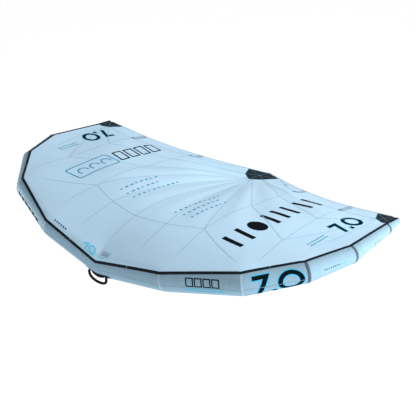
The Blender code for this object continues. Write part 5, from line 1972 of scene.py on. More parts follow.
@dataclass(frozen=True)
class BattenPocket:
    """One of four flat pockets at the trailing edge, each with a batten in it.

    Attributes:
        end: side and number, for its name.
        x: how far right of the middle it lies.
        tail_gap: distance between its rear end and the hem.
        margin_width: width of the cloth that it is sewn to.
        tack_reach: distance of its tacks from its ends.
        batten_gap: distance of the batten's ends from its ends.
    """

    skin: CanopySkin
    end: str
    x: float
    length: float = 0.180
    width: float = 0.034
    height: float = 0.0052
    cloth: float = 0.0010
    tail_gap: float = 0.012
    lift: float = 0.0008
    margin_width: float = 0.060
    margin_reach: Place = (0.006, 0.004)
    tack_reach: float = 0.010
    tack_width: float = 0.006
    batten_gap: float = 0.014
    batten_width: float = 0.022
    batten_thickness: float = 0.0022
    batten_lift: float = 0.0015
    stitching: float = 0.0004

    def build(self) -> None:
        """Builds the pocket with its tacks, its margin and its batten."""
        skin, half, node = self.skin, self.width / 2.0, f"batten_pocket_{self.end}"
        tail = self.edge_y() - self.tail_gap
        head = tail - self.length
        y = np.linspace(head, tail, 22)
        outer, inner = (self.rings(y, half - thick, self.height / 2.0 - thick) for thick in (0.0, self.cloth))
        pocket = add_piece(f"{node}_cloth", pipe(outer, inner), Look.POCKET, node)
        rows = (head + self.tack_reach, tail - self.tack_reach)
        across = [[(self.x + way * half, row) for way in (-1.0, 0.0, 1.0)] for row in rows]
        bars = [strip(skin, line, self.tack_width, self.lift + self.height + HAIR, self.stitching) for line in across]
        tacks = add_piece(f"{node}_tacks", bars, Look.GREY_INK)
        inside = straight_line([(self.x, head + self.batten_gap), (self.x, tail - self.batten_gap)], 0.008)
        bar = strip(skin, inside, self.batten_width, self.lift + self.batten_lift, self.batten_thickness, 5)
        add_piece(f"batten_{self.end}_bar", bar, Look.BATTEN, f"batten_{self.end}")
        base = straight_line([(self.x, head - self.margin_reach[0]), (self.x, tail + self.margin_reach[1])], 0.012)
        margin = strip(skin, base, self.margin_width, HAIR, self.stitching, 7)
        margin = add_piece(f"{node}_margin", margin, Look.POCKET)

    def edge_y(self) -> float:
        """How far back the cloth reaches at the pocket.

        Returns:
            The distance behind the nose.
        """
        count = np.linspace(0.0, 6.0, 400)
        edge = self.skin.edge_points(count)[:, :2]
        edge = edge - unit(edge - self.skin.leave_points(count)[:, :2]) * self.skin.plan.hem_width
        return float(np.interp(abs(self.x), edge[:, 0], edge[:, 1]))

    def rings(self, y: Array, half: float, rise: float) -> Array:
        """Rings of a rounded box: cosine and sine to the power of a half, over the canopy.

        Args:
            y: distances behind the nose.
            half: half its width.
            rise: half its height.

        Returns:
            The rings.
        """
        across, up = (np.sign(wave) * np.abs(wave) ** 0.5 for wave in circle(36))
        x = np.full(y.shape, self.x)
        flat, normal = self.skin.place(x, y, 0.0), self.skin.normal(x, y)
        side = unit(np.cross(np.gradient(flat, axis=0), normal))
        side = side * np.sign(side[:, :1])
        lift = self.lift + self.height / 2.0 + rise * up
        return flat[:, None] + side[:, None] * (half * across)[:, None] + normal[:, None] * lift[:, None]


# Printed figures and stripes

INK = 0.0003
"""How thick a printed stroke lies on the cloth."""


@dataclass(frozen=True)
class SizeFigure:
    """A size figure 7.0 in a plain face, as strokes on a skin.

    Attributes:
        name: its name.
        seven: the three corners of the seven.
        middle: middle of the nought.
        halves: the two half axes of the nought.
        dot: place of the point.
        stroke: width of the strokes.
        margin: how much wider the coloured edge under them is.
        film: thickness of a stroke.
    """

    skin: Skin
    name: str
    seven: tuple[Place, Place, Place]
    middle: Place
    halves: tuple[Place, Place]
    dot: Place
    stroke: float
    margin: float = 0.010
    film: float = 0.0002

    def shells(self, wider: float, lift: float) -> list[Shell]:
        """The strokes as thin strips; the nought is its middle plus cosine and sine of its half axes.

        Args:
            wider: how much wider and longer they are.
            lift: height of their underside.

        Returns:
            Seven, nought and point.
        """
        cosine, sine = (wave[:, None] for wave in circle(56))
        nought = self.middle + cosine * self.halves[0] + sine * self.halves[1]
        scale = np.array([float(value) for value in self.skin.scale(*np.array(self.dot))])
        seven, width = np.array(self.seven), self.stroke + wider
        seven[[0, -1]] += unit((seven[[0, -1]] - seven[[1, -2]]) * scale) * wider / 2.0 / scale
        step = np.array([width / 2.0, 0.0]) / scale
        dot = self.dot + np.array([-step, step])
        seven, dot = (straight_line(line * scale, 0.010) / scale for line in (seven, dot))
        lines = ((seven, False), (nought, True), (dot, False))
        return [strip(self.skin, line, width, lift, self.film, 5, closed) for line, closed in lines]

    def build(self) -> list[bpy.types.Object]:
        """Builds the figure in black over its coloured edge."""
        edge = add_piece(f"{self.name}_edge", self.shells(self.margin, INK), Look.CYAN_INK)
        return [edge, add_piece(f"{self.name}_ink", self.shells(0.0, 2.0 * INK), Look.BLACK_INK)]


@dataclass(frozen=True)
class Print:
    """All print on the wing: size figures, and plain bars, frames, boxes and dashes.

    Attributes:
        lift: height of a stroke's underside on the canopy or the tube.
        cloth_lift: the same for strokes over the cloth on the tube, with the thickness in cloth_ink.
    """

    canopy: CanopySkin
    tube: TubeSkin
    lift: float = 0.0004
    cloth_lift: float = 0.0019
    cloth_ink: float = 0.0002

    def build(self) -> list[bpy.types.Object]:
        """Builds the print.

        Returns:
            The printed pieces.
        """
        pieces = [piece for figure in self.figures() for piece in figure.build()]
        pieces += [
            add_piece("nose_size_ink", self.small_figure(), Look.PALE_INK),
            add_piece("canopy_black_bars", self.black_bars(), Look.BLACK_INK),
            add_piece("canopy_cyan_dashes", self.cyan_dashes(), Look.DEEP_INK),
            add_piece("canopy_label_lines", self.label_lines(), Look.GREY_INK),
            add_piece("canopy_label_cyan", self.label_cyan(), Look.PALE_INK),
            add_piece("le_dark_marks", self.tube_marks(), Look.BLACK_INK),
            add_piece("le_cyan_marks", self.tube_boxes(), Look.CYAN_INK),
        ]
        return pieces

    def figures(self) -> list[SizeFigure]:
        """The three large size figures."""
        return [
            SizeFigure(
                self.canopy, "right_size", ((1.380, 1.268), (1.390, 1.350), (1.532, 1.302)),
                (1.4575, 1.503), ((0.0655, 0.036), (0.032, -0.0545)), (1.523, 1.399), 0.031,
            ),
            SizeFigure(
                self.canopy, "left_size", ((-1.380, 1.570), (-1.384, 1.482), (-1.552, 1.562)),
                (-1.468, 1.342), ((0.056, 0.0485), (0.0615, -0.057)), (-1.543, 1.460), 0.031,
            ),
            SizeFigure(
                self.tube, "le_size", ((2.160, -56.0), (2.372, -53.0), (2.232, -140.0)),
                (2.730, -90.7), ((0.162, 0.0), (0.0, 40.7)), (2.480, -131.4), 0.032, 0.014,
            ),
        ]

    def on_canopy(self, points: Sequence[Place], width: float, step: float = 0.012) -> Shell:
        """A straight printed stroke on the canopy."""
        return strip(self.canopy, straight_line(points, step), width, self.lift, INK)

    def frame(self, skin: Skin, outline: Array, width: float) -> Shell:
        """A closed printed line."""
        return strip(skin, outline, width, self.lift, INK, 3, True)

    def on_tube(self, points: Sequence[Place], width: float) -> Shell:
        """A printed stroke over the cloth on the tube, given in plan."""
        path = self.tube.under(straight_line(points, 0.010))
        return strip(self.tube, path, width, self.cloth_lift, self.cloth_ink)

    def small_figure(self) -> list[Shell]:
        """The small size figure beside the nose; its nought is a middle plus cosine and sine of two half axes.

        Returns:
            Seven, nought and point.
        """
        cosine, sine = (wave[:, None] for wave in circle(36))
        nought = self.tube.under(np.array([-0.075, 0.043]) + cosine * [0.030, 0.004] + sine * [0.022, -0.022])
        return [
            self.on_tube([(-0.186, 0.054), (-0.138, 0.066), (-0.144, 0.022)], 0.019),
            strip(self.tube, nought, 0.017, self.cloth_lift, self.cloth_ink, 3, True),
            self.on_tube([(-0.122, 0.024), (-0.106, 0.024)], 0.018),
        ]

    def black_bars(self) -> list[Shell]:
        """Plain bars and a disc on the right half of the canopy, and plain frames on the left half.

        Returns:
            The bars, the disc, short dashes beside the nose and the frames.
        """
        bars = (
            (0.607, 0.027), (0.760, 0.027), (1.098, 0.020), (1.232, 0.018),
            (1.372, 0.012), (1.560, 0.0), (1.700, -0.008),
        )
        made = [self.on_canopy([(0.834, y), (1.044, y - slant)], 0.044) for y, slant in bars]
        disc = np.stack(circle(40), 1) * (0.092, 0.072) + np.array([0.938, 0.915])
        made.append(pad(self.canopy, disc, self.lift, INK, 5))
        for x in np.arange(-0.576, -0.42, 0.029):
            y = 0.0765 - 0.098 * (x + 0.492)
            made.append(self.on_tube([(x, y), (x + 0.014, y + 0.098 * 0.014)], 0.016))
        for y in (1.190, 1.335, 1.480, 1.625):
            corners = [(-1.012, y), (-1.012, y + 0.098), (-0.850, y + 0.072), (-0.850, y - 0.026)]
            made.append(self.frame(self.canopy, rounded_outline(corners, 0.004), 0.018))
        return made

    def cyan_dashes(self) -> list[Shell]:
        """Rows of short cyan dashes, two caption rows a side and an open box with three open arcs.

        Returns:
            The dashes, the box and the arcs.
        """
        rows = (
            (-0.400, 0.700, 1.180), (-0.312, 0.690, 1.100), (-0.226, 0.680, 1.260),
            (0.240, 0.700, 1.280), (0.328, 0.707, 1.150), (0.414, 0.710, 1.200),
        )
        made = []
        for x, start, end in rows:
            for number, y in enumerate(np.arange(start, end, 0.062)):
                made.append(self.on_canopy([(x, y), (x, y + (0.032 if number % 3 else 0.020))], 0.017))
        for x in (1.428, 1.462, -1.410, -1.450):
            made += [self.on_canopy([(x, y), (x, y + 0.021)], 0.013, 0.01) for y in np.arange(0.890, 1.125, 0.030)]
        box = rounded_outline([(-0.822, 0.618), (-0.822, 1.118), (-1.034, 1.112), (-1.034, 0.612)], 0.030)
        made.append(self.frame(self.canopy, box, 0.013))
        arc = ((-0.878, 0.0), (-0.915, -0.006), (-0.955, 0.016), (-0.968, 0.054), (-0.948, 0.088), (-0.905, 0.100))
        for start in (0.690, 0.835, 0.980):
            made.append(strip(self.canopy, smooth_line(arc + np.array([0.0, start]), 0.01), 0.014, self.lift, INK))
        return made

    def label_lines(self) -> list[Shell]:
        """Faint lines of a sewn label beside the nose, with no words, and a grey tick."""
        made = [self.on_tube([(0.048, 0.072), (0.076, 0.070)], 0.008)]
        made += [self.on_tube([(0.034, y), (0.112, y - 0.003)], 0.004) for y in (0.060, 0.053, 0.046, 0.039)]
        return [*made, self.on_canopy([(0.350, 2.150), (0.396, 2.136)], 0.016, 0.01)]

    def label_cyan(self) -> list[Shell]:
        """Two pale lines of the label."""
        lines = (([(0.084, 0.070), (0.118, 0.067)], 0.009), ([(0.026, 0.026), (0.078, 0.023)], 0.006))
        return [self.on_tube(*line) for line in lines]

    def tube_marks(self) -> list[Shell]:
        """Small dark dashes and four outlined bars on the leading edge.

        Returns:
            The marks.
        """
        made = [self.dash(count, 0.018, -82.0, 0.009) for count in np.arange(3.30, 3.62, 0.042)]
        made += [self.dash(count, 0.020, -88.0, 0.009) for count in (4.50, 4.57, 4.64)]
        for number in range(4):
            near, far = 1.340 + 0.105 * number, 1.340 + 0.105 * number + 0.080
            corners = [(near, -60.0), (far, -60.0), (far, -91.0), (near, -91.0)]
            made.append(self.frame(self.tube, rounded_outline(corners, 0.001, 4, 2.0), 0.0090))
        made += [self.dash(count, 0.085, -94.0, 0.042) for count in np.arange(-1.90, -1.20, 0.125)]
        return made

    def dash(self, count: float, length: float, degrees: float, width: float) -> Shell:
        """A short straight dash along the tube."""
        path = np.stack([np.linspace(count, count + length, 6), np.full(6, degrees)], 1)
        return strip(self.tube, path, width, self.lift, INK, 9)

    def tube_boxes(self) -> list[Shell]:
        """An open cyan box under the outlined bars, and a short dash row."""
        box = rounded_outline([(1.335, -98.0), (1.730, -98.0), (1.770, -112.0), (1.375, -112.0)], 0.02, 4, 1.5)
        dashes = [self.dash(count, 0.018, -84.0, 0.009) for count in (3.66, 3.70, 3.74)]
        return [self.frame(self.tube, box, 0.009), *dashes]


# Centre strut


@dataclass(frozen=True)
class CentreStrut:
    """The air tube under the canopy: casing panels, seams, collar, tail, web and bladder.

    Attributes:
        sides: points round it.
        row_step: distance between its rings.
        dip: how far its sewn ends draw in, over a distance of dip_reach.
        collar_length: how far the collar reaches behind the first row.
        tail_length: length of the rounded rear end.
        dome_share: how much of the quarter turn the rear end takes before it closes.
        panels: name, first row and last row of each casing panel.
    """

    skin: StrutSkin
    sides: int = 72
    row_step: float = 0.018
    dip: float = 0.0010
    dip_reach: float = 0.016
    joint_width: float = 0.014
    joint_lifts: Place = (0.0004, -0.0008)
    collar_length: float = 0.055
    collar_thickness: float = 0.0014
    tail_length: float = 0.024
    dome_share: float = 0.90
    web_thickness: float = 0.0010
    panels: tuple[tuple[str, int, int], ...] = (("front", 1, 5), ("middle", 5, 8), ("rear", 8, 10))

    def build(self) -> None:
        """Builds the casing panels with their seams, then collar, tail, web and bladder."""
        for name, first, last in self.panels:
            node = f"strut_panel_{name}"
            outer, inner = (self.rings(first, last, lift) for lift in (0.0, -self.skin.plan.casing_wall))
            piece = add_piece(f"{node}_cloth", pipe(outer, inner), Look.CASING, node)
            seam = add_piece(f"strut_joint_{name}", self.joint(last), Look.JOINT_SEAM)
        collar = add_piece("strut_collar_cloth", self.collar(), Look.PATCH, "strut_collar")
        tail = add_piece("strut_tail_cap_cloth", self.tail(), Look.CASING, "strut_tail_cap")
        web = add_piece("strut_web_cloth", self.web(), Look.CANOPY, "strut_web")
        add_piece("strut_bladder_film", self.bladder(), Look.FILM, "strut_bladder")

    def rings(self, first: int, last: int, lift: float, gap: float = StrutSkin.saddle_gap) -> Array:
        """Rings of a casing panel, drawn in a little at its sewn ends, with the saddle before the first panel.

        Args:
            first: its first row.
            last: its last row.
            lift: height over the casing.
            gap: clearance between the saddle and the leading edge.

        Returns:
            The rings.
        """
        skin, degrees = self.skin, turn_degrees(self.sides)
        length = float(np.linalg.norm(skin.axis[last] - skin.axis[first]))
        row = np.linspace(first, last, max(4, int(length / self.row_step)))
        ends = [np.abs(row - end) for end in (last, first) if end > skin.first_row]
        away = np.minimum.reduce(ends) / (last - first) * length
        dip = self.dip * np.exp(-((away / self.dip_reach) ** 2))[:, None]
        rings = skin.between(row[:, None], degrees[None, :], lift - dip)
        rings[-1] += (rings[-2] - rings[-1]) * (skin.plan.touch / np.linalg.norm(rings[-1, 0] - rings[-2, 0]))
        if first == skin.first_row:
            front = skin.saddle(degrees, lift, gap)
            steps = np.linspace(0.0, 1.0, 5)[:-1, None, None]
            rings = np.concatenate([front + (rings[0] - front) * steps, rings])
        return rings

    def joint(self, row: int) -> Shell:
        """A sewn strip round the strut where two panels meet.

        Args:
            row: the row where they meet.

        Returns:
            The strip.
        """
        degrees = turn_degrees(60)
        y = float(self.skin.axis[row][1]) - 0.001 + np.linspace(-self.joint_width, 0.0, 5)
        top, low = (self.skin.place(y[:, None], degrees[None, :], lift) for lift in self.joint_lifts)
        run = np.radians(np.append(degrees, 360.0)) * self.skin.body_radius
        return wall(top, low, np.stack(np.broadcast_arrays(run[None, :], (y - y.mean())[:, None]), 2), True)

    def collar(self) -> Shell:
        """A patch round the strut's front end.

        Returns:
            The patch: rings from the saddle to the first row, and on behind it.
        """
        skin, degrees, walls = self.skin, turn_degrees(self.sides), []
        row, steps = np.full(self.sides, skin.first_row), np.linspace(0.0, 1.0, 5)[:, None, None]
        for lift in (skin.plan.touch + self.collar_thickness, skin.plan.touch):
            front = skin.saddle(degrees, lift, skin.saddle_gap)
            near, far = skin.ring(row, degrees, lift), skin.ring(row + 1, degrees, lift)
            back = unit(far - near) * self.collar_length
            walls.append(np.concatenate([front + (near - front) * steps[:-1], near + back * steps]))
        return pipe(*walls, True)

    def tail(self) -> Shell:
        """The rounded rear end: spokes times the cosine, and its length times the sine, as a thin wall.

        Returns:
            The wall.
        """
        skin, last = self.skin, self.skin.last_row
        angle = (np.linspace(0.0, self.dome_share, 12) * math.pi / 2.0)[:, None, None]
        walls = []
        for lift in (0.0, -skin.plan.casing_wall):
            spokes = skin.ring(np.full(self.sides, last), turn_degrees(self.sides), lift) - skin.axis[last]
            back = skin.along[-1] * (self.tail_length + lift)
            walls.append(skin.axis[last] + spokes * np.cos(angle) + back * np.sin(angle))
        return cup(*walls)

    def web(self) -> Shell:
        """The thin upright cloth between the front of the strut and the canopy.

        Returns:
            The cloth, ruled between the strut's top and the canopy's underside.
        """
        skin, rows = self.skin, self.skin.first_row + np.arange(3)
        foot = skin.ring(rows, np.zeros(3), skin.plan.touch * 2.0 + self.collar_thickness)
        fine = np.linspace(0.0, 2.0, 34)
        lines = (foot, skin.roof[rows])
        low, high = (np.stack([np.interp(fine, np.arange(3), axis) for axis in line.T], 1) for line in lines)
        sheet = low + (high - low) * np.linspace(0.0, 1.0, 8)[:, None, None]
        half = X * self.web_thickness / 2.0
        return wall(sheet + half, sheet - half, grid_places(sheet))

    def bladder(self) -> Shell:
        """The air tube inside the casing."""
        skin, plan = self.skin, self.skin.plan
        lift, gap = -plan.casing_wall - plan.touch, skin.saddle_gap + plan.touch
        return rod(self.rings(skin.first_row, skin.last_row, lift, gap))


# Hand grips


def bent(corners: Sequence[Array], radius: float) -> Array:
    """A line through corners, each rounded by an arc.

    Args:
        corners: the line's ends and corners.
        radius: radius of the arcs.

    Returns:
        Points of the line; an arc is its middle plus two spokes, mixed by sines of the turn.
    """
    corners = np.asarray(corners)
    line = [corners[:1]]
    for before, corner, after in zip(corners, corners[1:], corners[2:]):
        back, ahead = unit(before - corner), unit(after - corner)
        half = math.acos(float(back.dot(ahead))) / 2.0
        centre = corner + unit(back + ahead) * radius / math.sin(half)
        start, stop = (corner + way * radius / math.tan(half) - centre for way in (back, ahead))
        sweep, share = math.pi - 2.0 * half, np.linspace(0.0, 1.0, 15)[:, None]
        line.append(centre + (np.sin((1.0 - share) * sweep) * start + np.sin(share * sweep) * stop) / math.sin(sweep))
    return np.concatenate([*line, corners[-1:]])


@dataclass(frozen=True)
class HandGrip:
    """A rigid grip under the strut: bent bar, foam sleeve, and a rail with sockets and screws.

    Attributes:
        name: front or rear.
        reach: how far behind the nose its middle lies.
        leg_spacing: distance between its legs.
        clearance: gap for the hand between sleeve and strut.
        rail_overhang: how much longer the rail is than the legs' spacing.
        rail_degrees: half the rail's width round the strut.
        groove: distance between the sleeve's shallow grooves.
        screw_reach: how far ahead and behind the middle the screws stand.
        screw: profile of a screw's head, as radius and height.
    """

    skin: StrutSkin
    name: str
    reach: float
    leg_spacing: float = 0.210
    clearance: float = 0.050
    bar_radius: float = 0.009
    sleeve_radius: float = 0.015
    sleeve_length: float = 0.140
    bend_radius: float = 0.022
    rail_overhang: float = 0.052
    rail_degrees: float = 24.0
    rail_thickness: float = 0.0030
    rail_corner: float = 0.014
    sides: int = 40
    groove: float = 0.0055
    groove_depth: float = 0.0005
    end_round: float = 0.0035
    socket_rise: float = 0.014
    socket_wall: float = 0.0055
    screw_reach: tuple[float, ...] = (-0.120, -0.088, 0.088, 0.120)
    screw_degrees: Place = (-15.0, 15.0)
    screw: tuple[Place, ...] = (
        (0.0042, 0.0001), (0.0042, 0.0008), (0.0034, 0.0017), (0.0020, 0.0021), (0.0019, 0.0010),
    )

    def build(self) -> None:
        """Builds the grip."""
        fore, aft, run, down, leg = self.layout()
        middle = (fore + aft) / 2.0 + down * leg
        path = bent([fore, fore + down * leg, aft + down * leg, aft], self.bend_radius)
        bar = swept(path, self.bar_radius, self.sides, X)
        for end, foot in ((0, fore), (-1, aft)):
            normal = self.skin.facing(float(foot[1]), 180.0, self.bar_radius)
            bar[end] = bar[end] - down * ((bar[end] - foot) @ normal / down.dot(normal))[:, None]
        node = f"{self.name}_grip"
        add_piece(f"{node}_bar_laminate", rod(bar), Look.CARBON, f"{node}_bar")
        sleeve = add_piece(f"{node}_sleeve_foam", self.sleeve(middle, run), Look.FOAM, f"{node}_sleeve")
        rail = pad(self.skin, self.outline(), self.skin.plan.touch, self.rail_thickness, 10)
        add_piece(f"{node}_rail_plate", rail, Look.PLASTIC, f"{node}_rail")
        add_piece(f"{node}_sockets", [self.socket(Frame(foot, X, run, down)) for foot in (fore, aft)], Look.PLASTIC)
        add_piece(f"{node}_screws", self.screws(), Look.STEEL)

    def layout(self) -> tuple[Array, Array, Array, Array, float]:
        """Where the grip stands.

        Returns:
            Feet of the two legs, direction of the bar, the way down and the legs' length.
        """
        half = self.leg_spacing / 2.0
        stand = self.skin.plan.touch + self.rail_thickness + self.skin.plan.cloth_gap
        fore, aft = (self.skin.spot(self.reach + way, 180.0, stand) for way in (-half, half))
        run = unit(aft - fore)
        return fore, aft, run, np.array([0.0, run[2], -run[1]]), self.clearance + self.sleeve_radius

    def sleeve(self, middle: Array, run: Array) -> Shell:
        """A foam sleeve with rounded ends and shallow grooves, which follow a cosine.

        Args:
            middle: its middle.
            run: its direction.

        Returns:
            The sleeve's wall.
        """
        half = self.sleeve_length / 2.0
        along = np.linspace(-half, half, 90)
        away = half - np.abs(along)
        ends = 1.0 - np.clip(away / 0.005, 0.0, 1.0)
        radius = self.sleeve_radius - self.end_round * (1.0 - np.sqrt(1.0 - ends**2))
        waves = 1.0 + np.cos(along * 2.0 * math.pi / self.groove)
        radius = radius - self.groove_depth * waves * ease(away, 0.008, 0.014)
        path = middle + run * along[:, None]
        return pipe(*(swept(path, size, 48, X) for size in (radius, self.bar_radius + self.skin.plan.touch)))

    def outline(self) -> Array:
        """Outline of the rail: distance behind the nose, and degrees round the strut."""
        half = ((self.leg_spacing + self.rail_overhang) / 2.0, self.rail_degrees)
        size = (1.0, math.radians(self.skin.body_radius))
        return soft_box(half, self.rail_corner, 7, 0.010, size, (self.reach, 180.0))

    def socket(self, base: Frame) -> Shell:
        """A ring that holds a leg of the bar on the rail.

        Args:
            base: the leg's foot.

        Returns:
            The ring, turned from a chamfered profile.
        """
        inner, outer, rise = self.bar_radius + 0.0004, self.bar_radius + self.socket_wall, self.socket_rise
        profile = [
            (inner, 0.0008), (outer, 0.0008), (outer, rise - 0.004), (outer - 0.0012, rise - 0.0012),
            (outer - 0.003, rise), (inner, rise),
        ]
        return hoop(base.turned(profile, 48))

    def screws(self) -> list[Shell]:
        """Domed screw heads at the rail's ends.

        Returns:
            The heads.
        """
        made = []
        for reach in self.screw_reach:
            for degrees in self.screw_degrees:
                place = (self.reach + reach, 180.0 + degrees)
                base = self.skin.spot(*place, self.skin.plan.touch + self.rail_thickness)
                out = self.skin.facing(*place, 0.004)
                side = unit(np.cross(out, Y))
                made.append(rod(Frame(base, side, np.cross(out, side), out).turned(self.screw, 24)))
        return made


# Loops


@dataclass(frozen=True)
class NoseHandle:
    """The soft round loop on the nose and the patch that it is sewn to.

    Attributes:
        half_width: half the distance between the loop's ends.
        depth: how far it hangs down.
        radius: its radius.
        degrees: its place round the tube.
        fullness: power of the sine that gives its depth; lower is squarer.
        stand: how far its line stands off the patch.
        base_size: half the pad's length in joints and half its width in degrees.
    """

    skin: TubeSkin
    half_width: float = 0.100
    depth: float = 0.071
    radius: float = 0.0110
    degrees: float = -130.0
    fullness: float = 0.62
    stand: float = 0.0105
    patch_half_length: float = 0.133
    patch_half_width: float = 0.030
    patch_thickness: float = 0.0014
    patch_corner: float = 0.022
    base_size: Place = (0.112, 10.0)
    base_thickness: float = 0.0030
    base_crown: float = 0.0110
    tack_reach: float = 0.016
    tack_degrees: float = 6.5
    tack_width: float = 0.004
    tack_thickness: float = 0.0007

    def build(self) -> None:
        """Builds patch, tacks, pad and loop."""
        patch = add_piece("nose_handle_patch_cloth", self.patch(), Look.PATCH, "nose_handle_patch")
        tacks = add_piece("nose_handle_tacks", self.tacks(), Look.BAND)
        base = add_piece("nose_handle_base_pad", self.base(), Look.WEBBING)
        add_piece("nose_handle_loop_webbing", self.loop(), Look.WEBBING, "nose_handle_loop", Body.NOSE_HANDLE)

    def joint_span(self) -> float:
        """Distance from the nose to the first joint, in plan."""
        return self.skin.plan.half_span * self.skin.plan.le_span[1]

    def patch(self) -> Shell:
        """A rounded patch across the nose joint.

        Returns:
            The patch.
        """
        plan = self.skin.plan
        half = (self.patch_half_length / self.joint_span(), math.degrees(self.patch_half_width / plan.nose_radius))
        size = (self.joint_span(), math.radians(plan.nose_radius))
        outline = soft_box(half, self.patch_corner, 7, 0.008, size, (0.0, self.degrees))
        return pad(self.skin, outline, plan.cloth_gap, self.patch_thickness, 14)

    def base(self) -> Shell:
        """A long soft pad on the patch between the loop's ends: an oval with its cosine to the power of a half.

        Returns:
            The pad.
        """
        cosine, sine = circle(56)
        shares = np.stack([np.sign(cosine) * np.abs(cosine) ** 0.5, sine], 1)
        outline = shares * self.base_size + (0.0, self.degrees)
        lift = self.skin.plan.cloth_gap + self.patch_thickness + 2.0 * HAIR
        return pad(self.skin, outline, lift, self.base_thickness, 10, self.base_crown)

    def tacks(self) -> list[Shell]:
        """Short bars of close stitches round each end of the loop.

        Returns:
            The bars.
        """
        lift = self.skin.plan.cloth_gap + self.patch_thickness + HAIR
        degrees = self.degrees + np.linspace(-self.tack_degrees, self.tack_degrees, 6)
        made = []
        for side in (-1.0, 1.0):
            for reach in (self.half_width - self.tack_reach, self.half_width + self.tack_reach):
                path = np.stack([np.full(6, side * reach / self.joint_span()), degrees], 1)
                made.append(strip(self.skin, path, self.tack_width, lift, self.tack_thickness))
        return made

    def loop(self) -> Shell:
        """A round loop whose depth is the sine of the turn to a power below one, with domed ends.

        Returns:
            The loop.
        """
        plan, angle = self.skin.plan, np.array(self.degrees)
        stand = plan.cloth_gap + self.patch_thickness + plan.touch + self.stand
        near, far = (self.skin.ring(np.array(joint), angle, stand) for joint in (0, 1))
        hinge = (near + (far - near) * (self.half_width / far[0])) * (0.0, 1.0, 1.0)
        turn = np.linspace(0.0, math.pi, 72)
        shape = [-np.cos(turn) * self.half_width, 0.0 * turn, -(np.sin(turn) ** self.fullness) * self.depth]
        path = hinge + np.stack(shape, 1)
        bend = np.linspace(0.96, 0.0, 8)[:-1] * math.pi / 2.0
        ends = (path[:2], path[:-3:-1])
        first, last = (end + unit(end - inner) * self.radius * np.sin(bend)[:, None] for end, inner in ends)
        radii = self.radius * np.concatenate([np.cos(bend), np.ones(len(turn)), np.cos(bend[::-1])])
        return rod(swept(np.concatenate([first, path, last[::-1]]), radii, 36, Y))


@dataclass(frozen=True)
class LeashPoint:
    """Patch, steel staple and the webbing loop for a leash, ahead of the front grip's rail.

    Attributes:
        reach: how far behind the nose it lies.
        patch_degrees: half the patch's width round the strut.
        staple_half_width: half the staple's width.
        staple_drop: how far the staple stands off the patch.
        loop_length: how far the loop hangs below the staple.
    """

    skin: StrutSkin
    reach: float = 0.560
    patch_length: float = 0.080
    patch_degrees: float = 26.0
    patch_thickness: float = 0.0016
    patch_corner: float = 0.014
    staple_radius: float = 0.0020
    staple_half_width: float = 0.015
    staple_drop: float = 0.0080
    webbing_width: float = 0.022
    webbing_thickness: float = 0.0018
    loop_length: float = 0.046
    loop_half_width: float = 0.012

    def build(self) -> None:
        """Builds patch, staple and loop."""
        size, pin = (1.0, math.radians(self.skin.body_radius)), self.pin()
        half = (self.patch_length / 2.0, self.patch_degrees)
        outline = soft_box(half, self.patch_corner, 6, 0.008, size, (self.reach, 180.0))
        plate = pad(self.skin, outline, self.skin.plan.touch, self.patch_thickness, 12)
        patch = add_piece("leash_patch_cloth", plate, Look.PATCH, "leash_patch")
        add_piece("leash_staple_wire", self.staple(pin), Look.STEEL, "leash_staple")
        add_piece("leash_loop_webbing", self.loop(pin), Look.WEBBING, "leash_loop", Body.LEASH)

    def stand(self) -> float:
        """Height of the patch's outer face over the casing."""
        return self.skin.plan.touch * 2.0 + self.patch_thickness

    def pin(self) -> Array:
        """Middle of the bar that the loop hangs on."""
        return self.skin.spot(self.reach, 180.0, self.stand()) - Z * self.staple_drop

    def staple(self, pin: Array) -> Shell:
        """A bent wire from the patch round the pin and back to the patch.

        Args:
            pin: middle of its bar.

        Returns:
            The wire, with its ends cut to the patch.
        """
        lean = math.degrees(math.asin(self.staple_half_width / (self.skin.body_radius + self.stand())))
        places = (180.0 + lean, 180.0 - lean)
        feet = [self.skin.spot(self.reach, place, self.stand()) for place in places]
        half = X * self.staple_half_width
        path = bent([feet[0], pin - half, pin + half, feet[1]], 2.0 * self.staple_radius)
        rings = swept(path, self.staple_radius, 20, Y)
        for end, foot, place in zip((0, -1), feet, places):
            normal = self.skin.facing(self.reach, place, self.staple_radius)
            rings[end] = rings[end] + Z * ((rings[end] - foot) @ normal / (-Z).dot(normal))[:, None]
        return rod(rings)

    def loop(self, pin: Array) -> Shell:
        """The webbing loop: a small eye round the wire and a wide round foot.

        Args:
            pin: middle of the bar that it hangs on.

        Returns:
            The loop.
        """
        eye, thick = self.staple_radius + self.skin.plan.touch, self.webbing_thickness
        across = X * (np.linspace(-0.5, 0.5, 9) * self.webbing_width)[:, None, None]
        walls = []
        for wide in (thick, 0.0):
            outline = self.teardrop(eye + wide, self.loop_half_width - thick + wide, self.loop_length - thick + wide)
            walls.append(pin + outline[None] + across)
        return pipe(*walls, True)

    @staticmethod
    def teardrop(eye: float, half_width: float, length: float) -> Array:
        """Outline of a hanging loop: an arc over the eye, and an arc round the foot.

        Args:
            eye: radius of the eye.
            half_width: radius of the foot.
            length: from the eye's middle to the foot's bottom.

        Returns:
            Points in the upright plane along the wing.
        """
        lean = math.asin((half_width - eye) / (length - half_width))
        top, foot = np.linspace(lean, math.pi - lean, 25), np.linspace(math.pi - lean, 2.0 * math.pi + lean, 49)
        upper = np.stack([0.0 * top, np.cos(top) * eye, np.sin(top) * eye], 1)
        lower = np.stack([0.0 * foot, np.cos(foot) * half_width, np.sin(foot) * half_width - (length - half_width)], 1)
        return np.concatenate([upper, lower])


# Air system


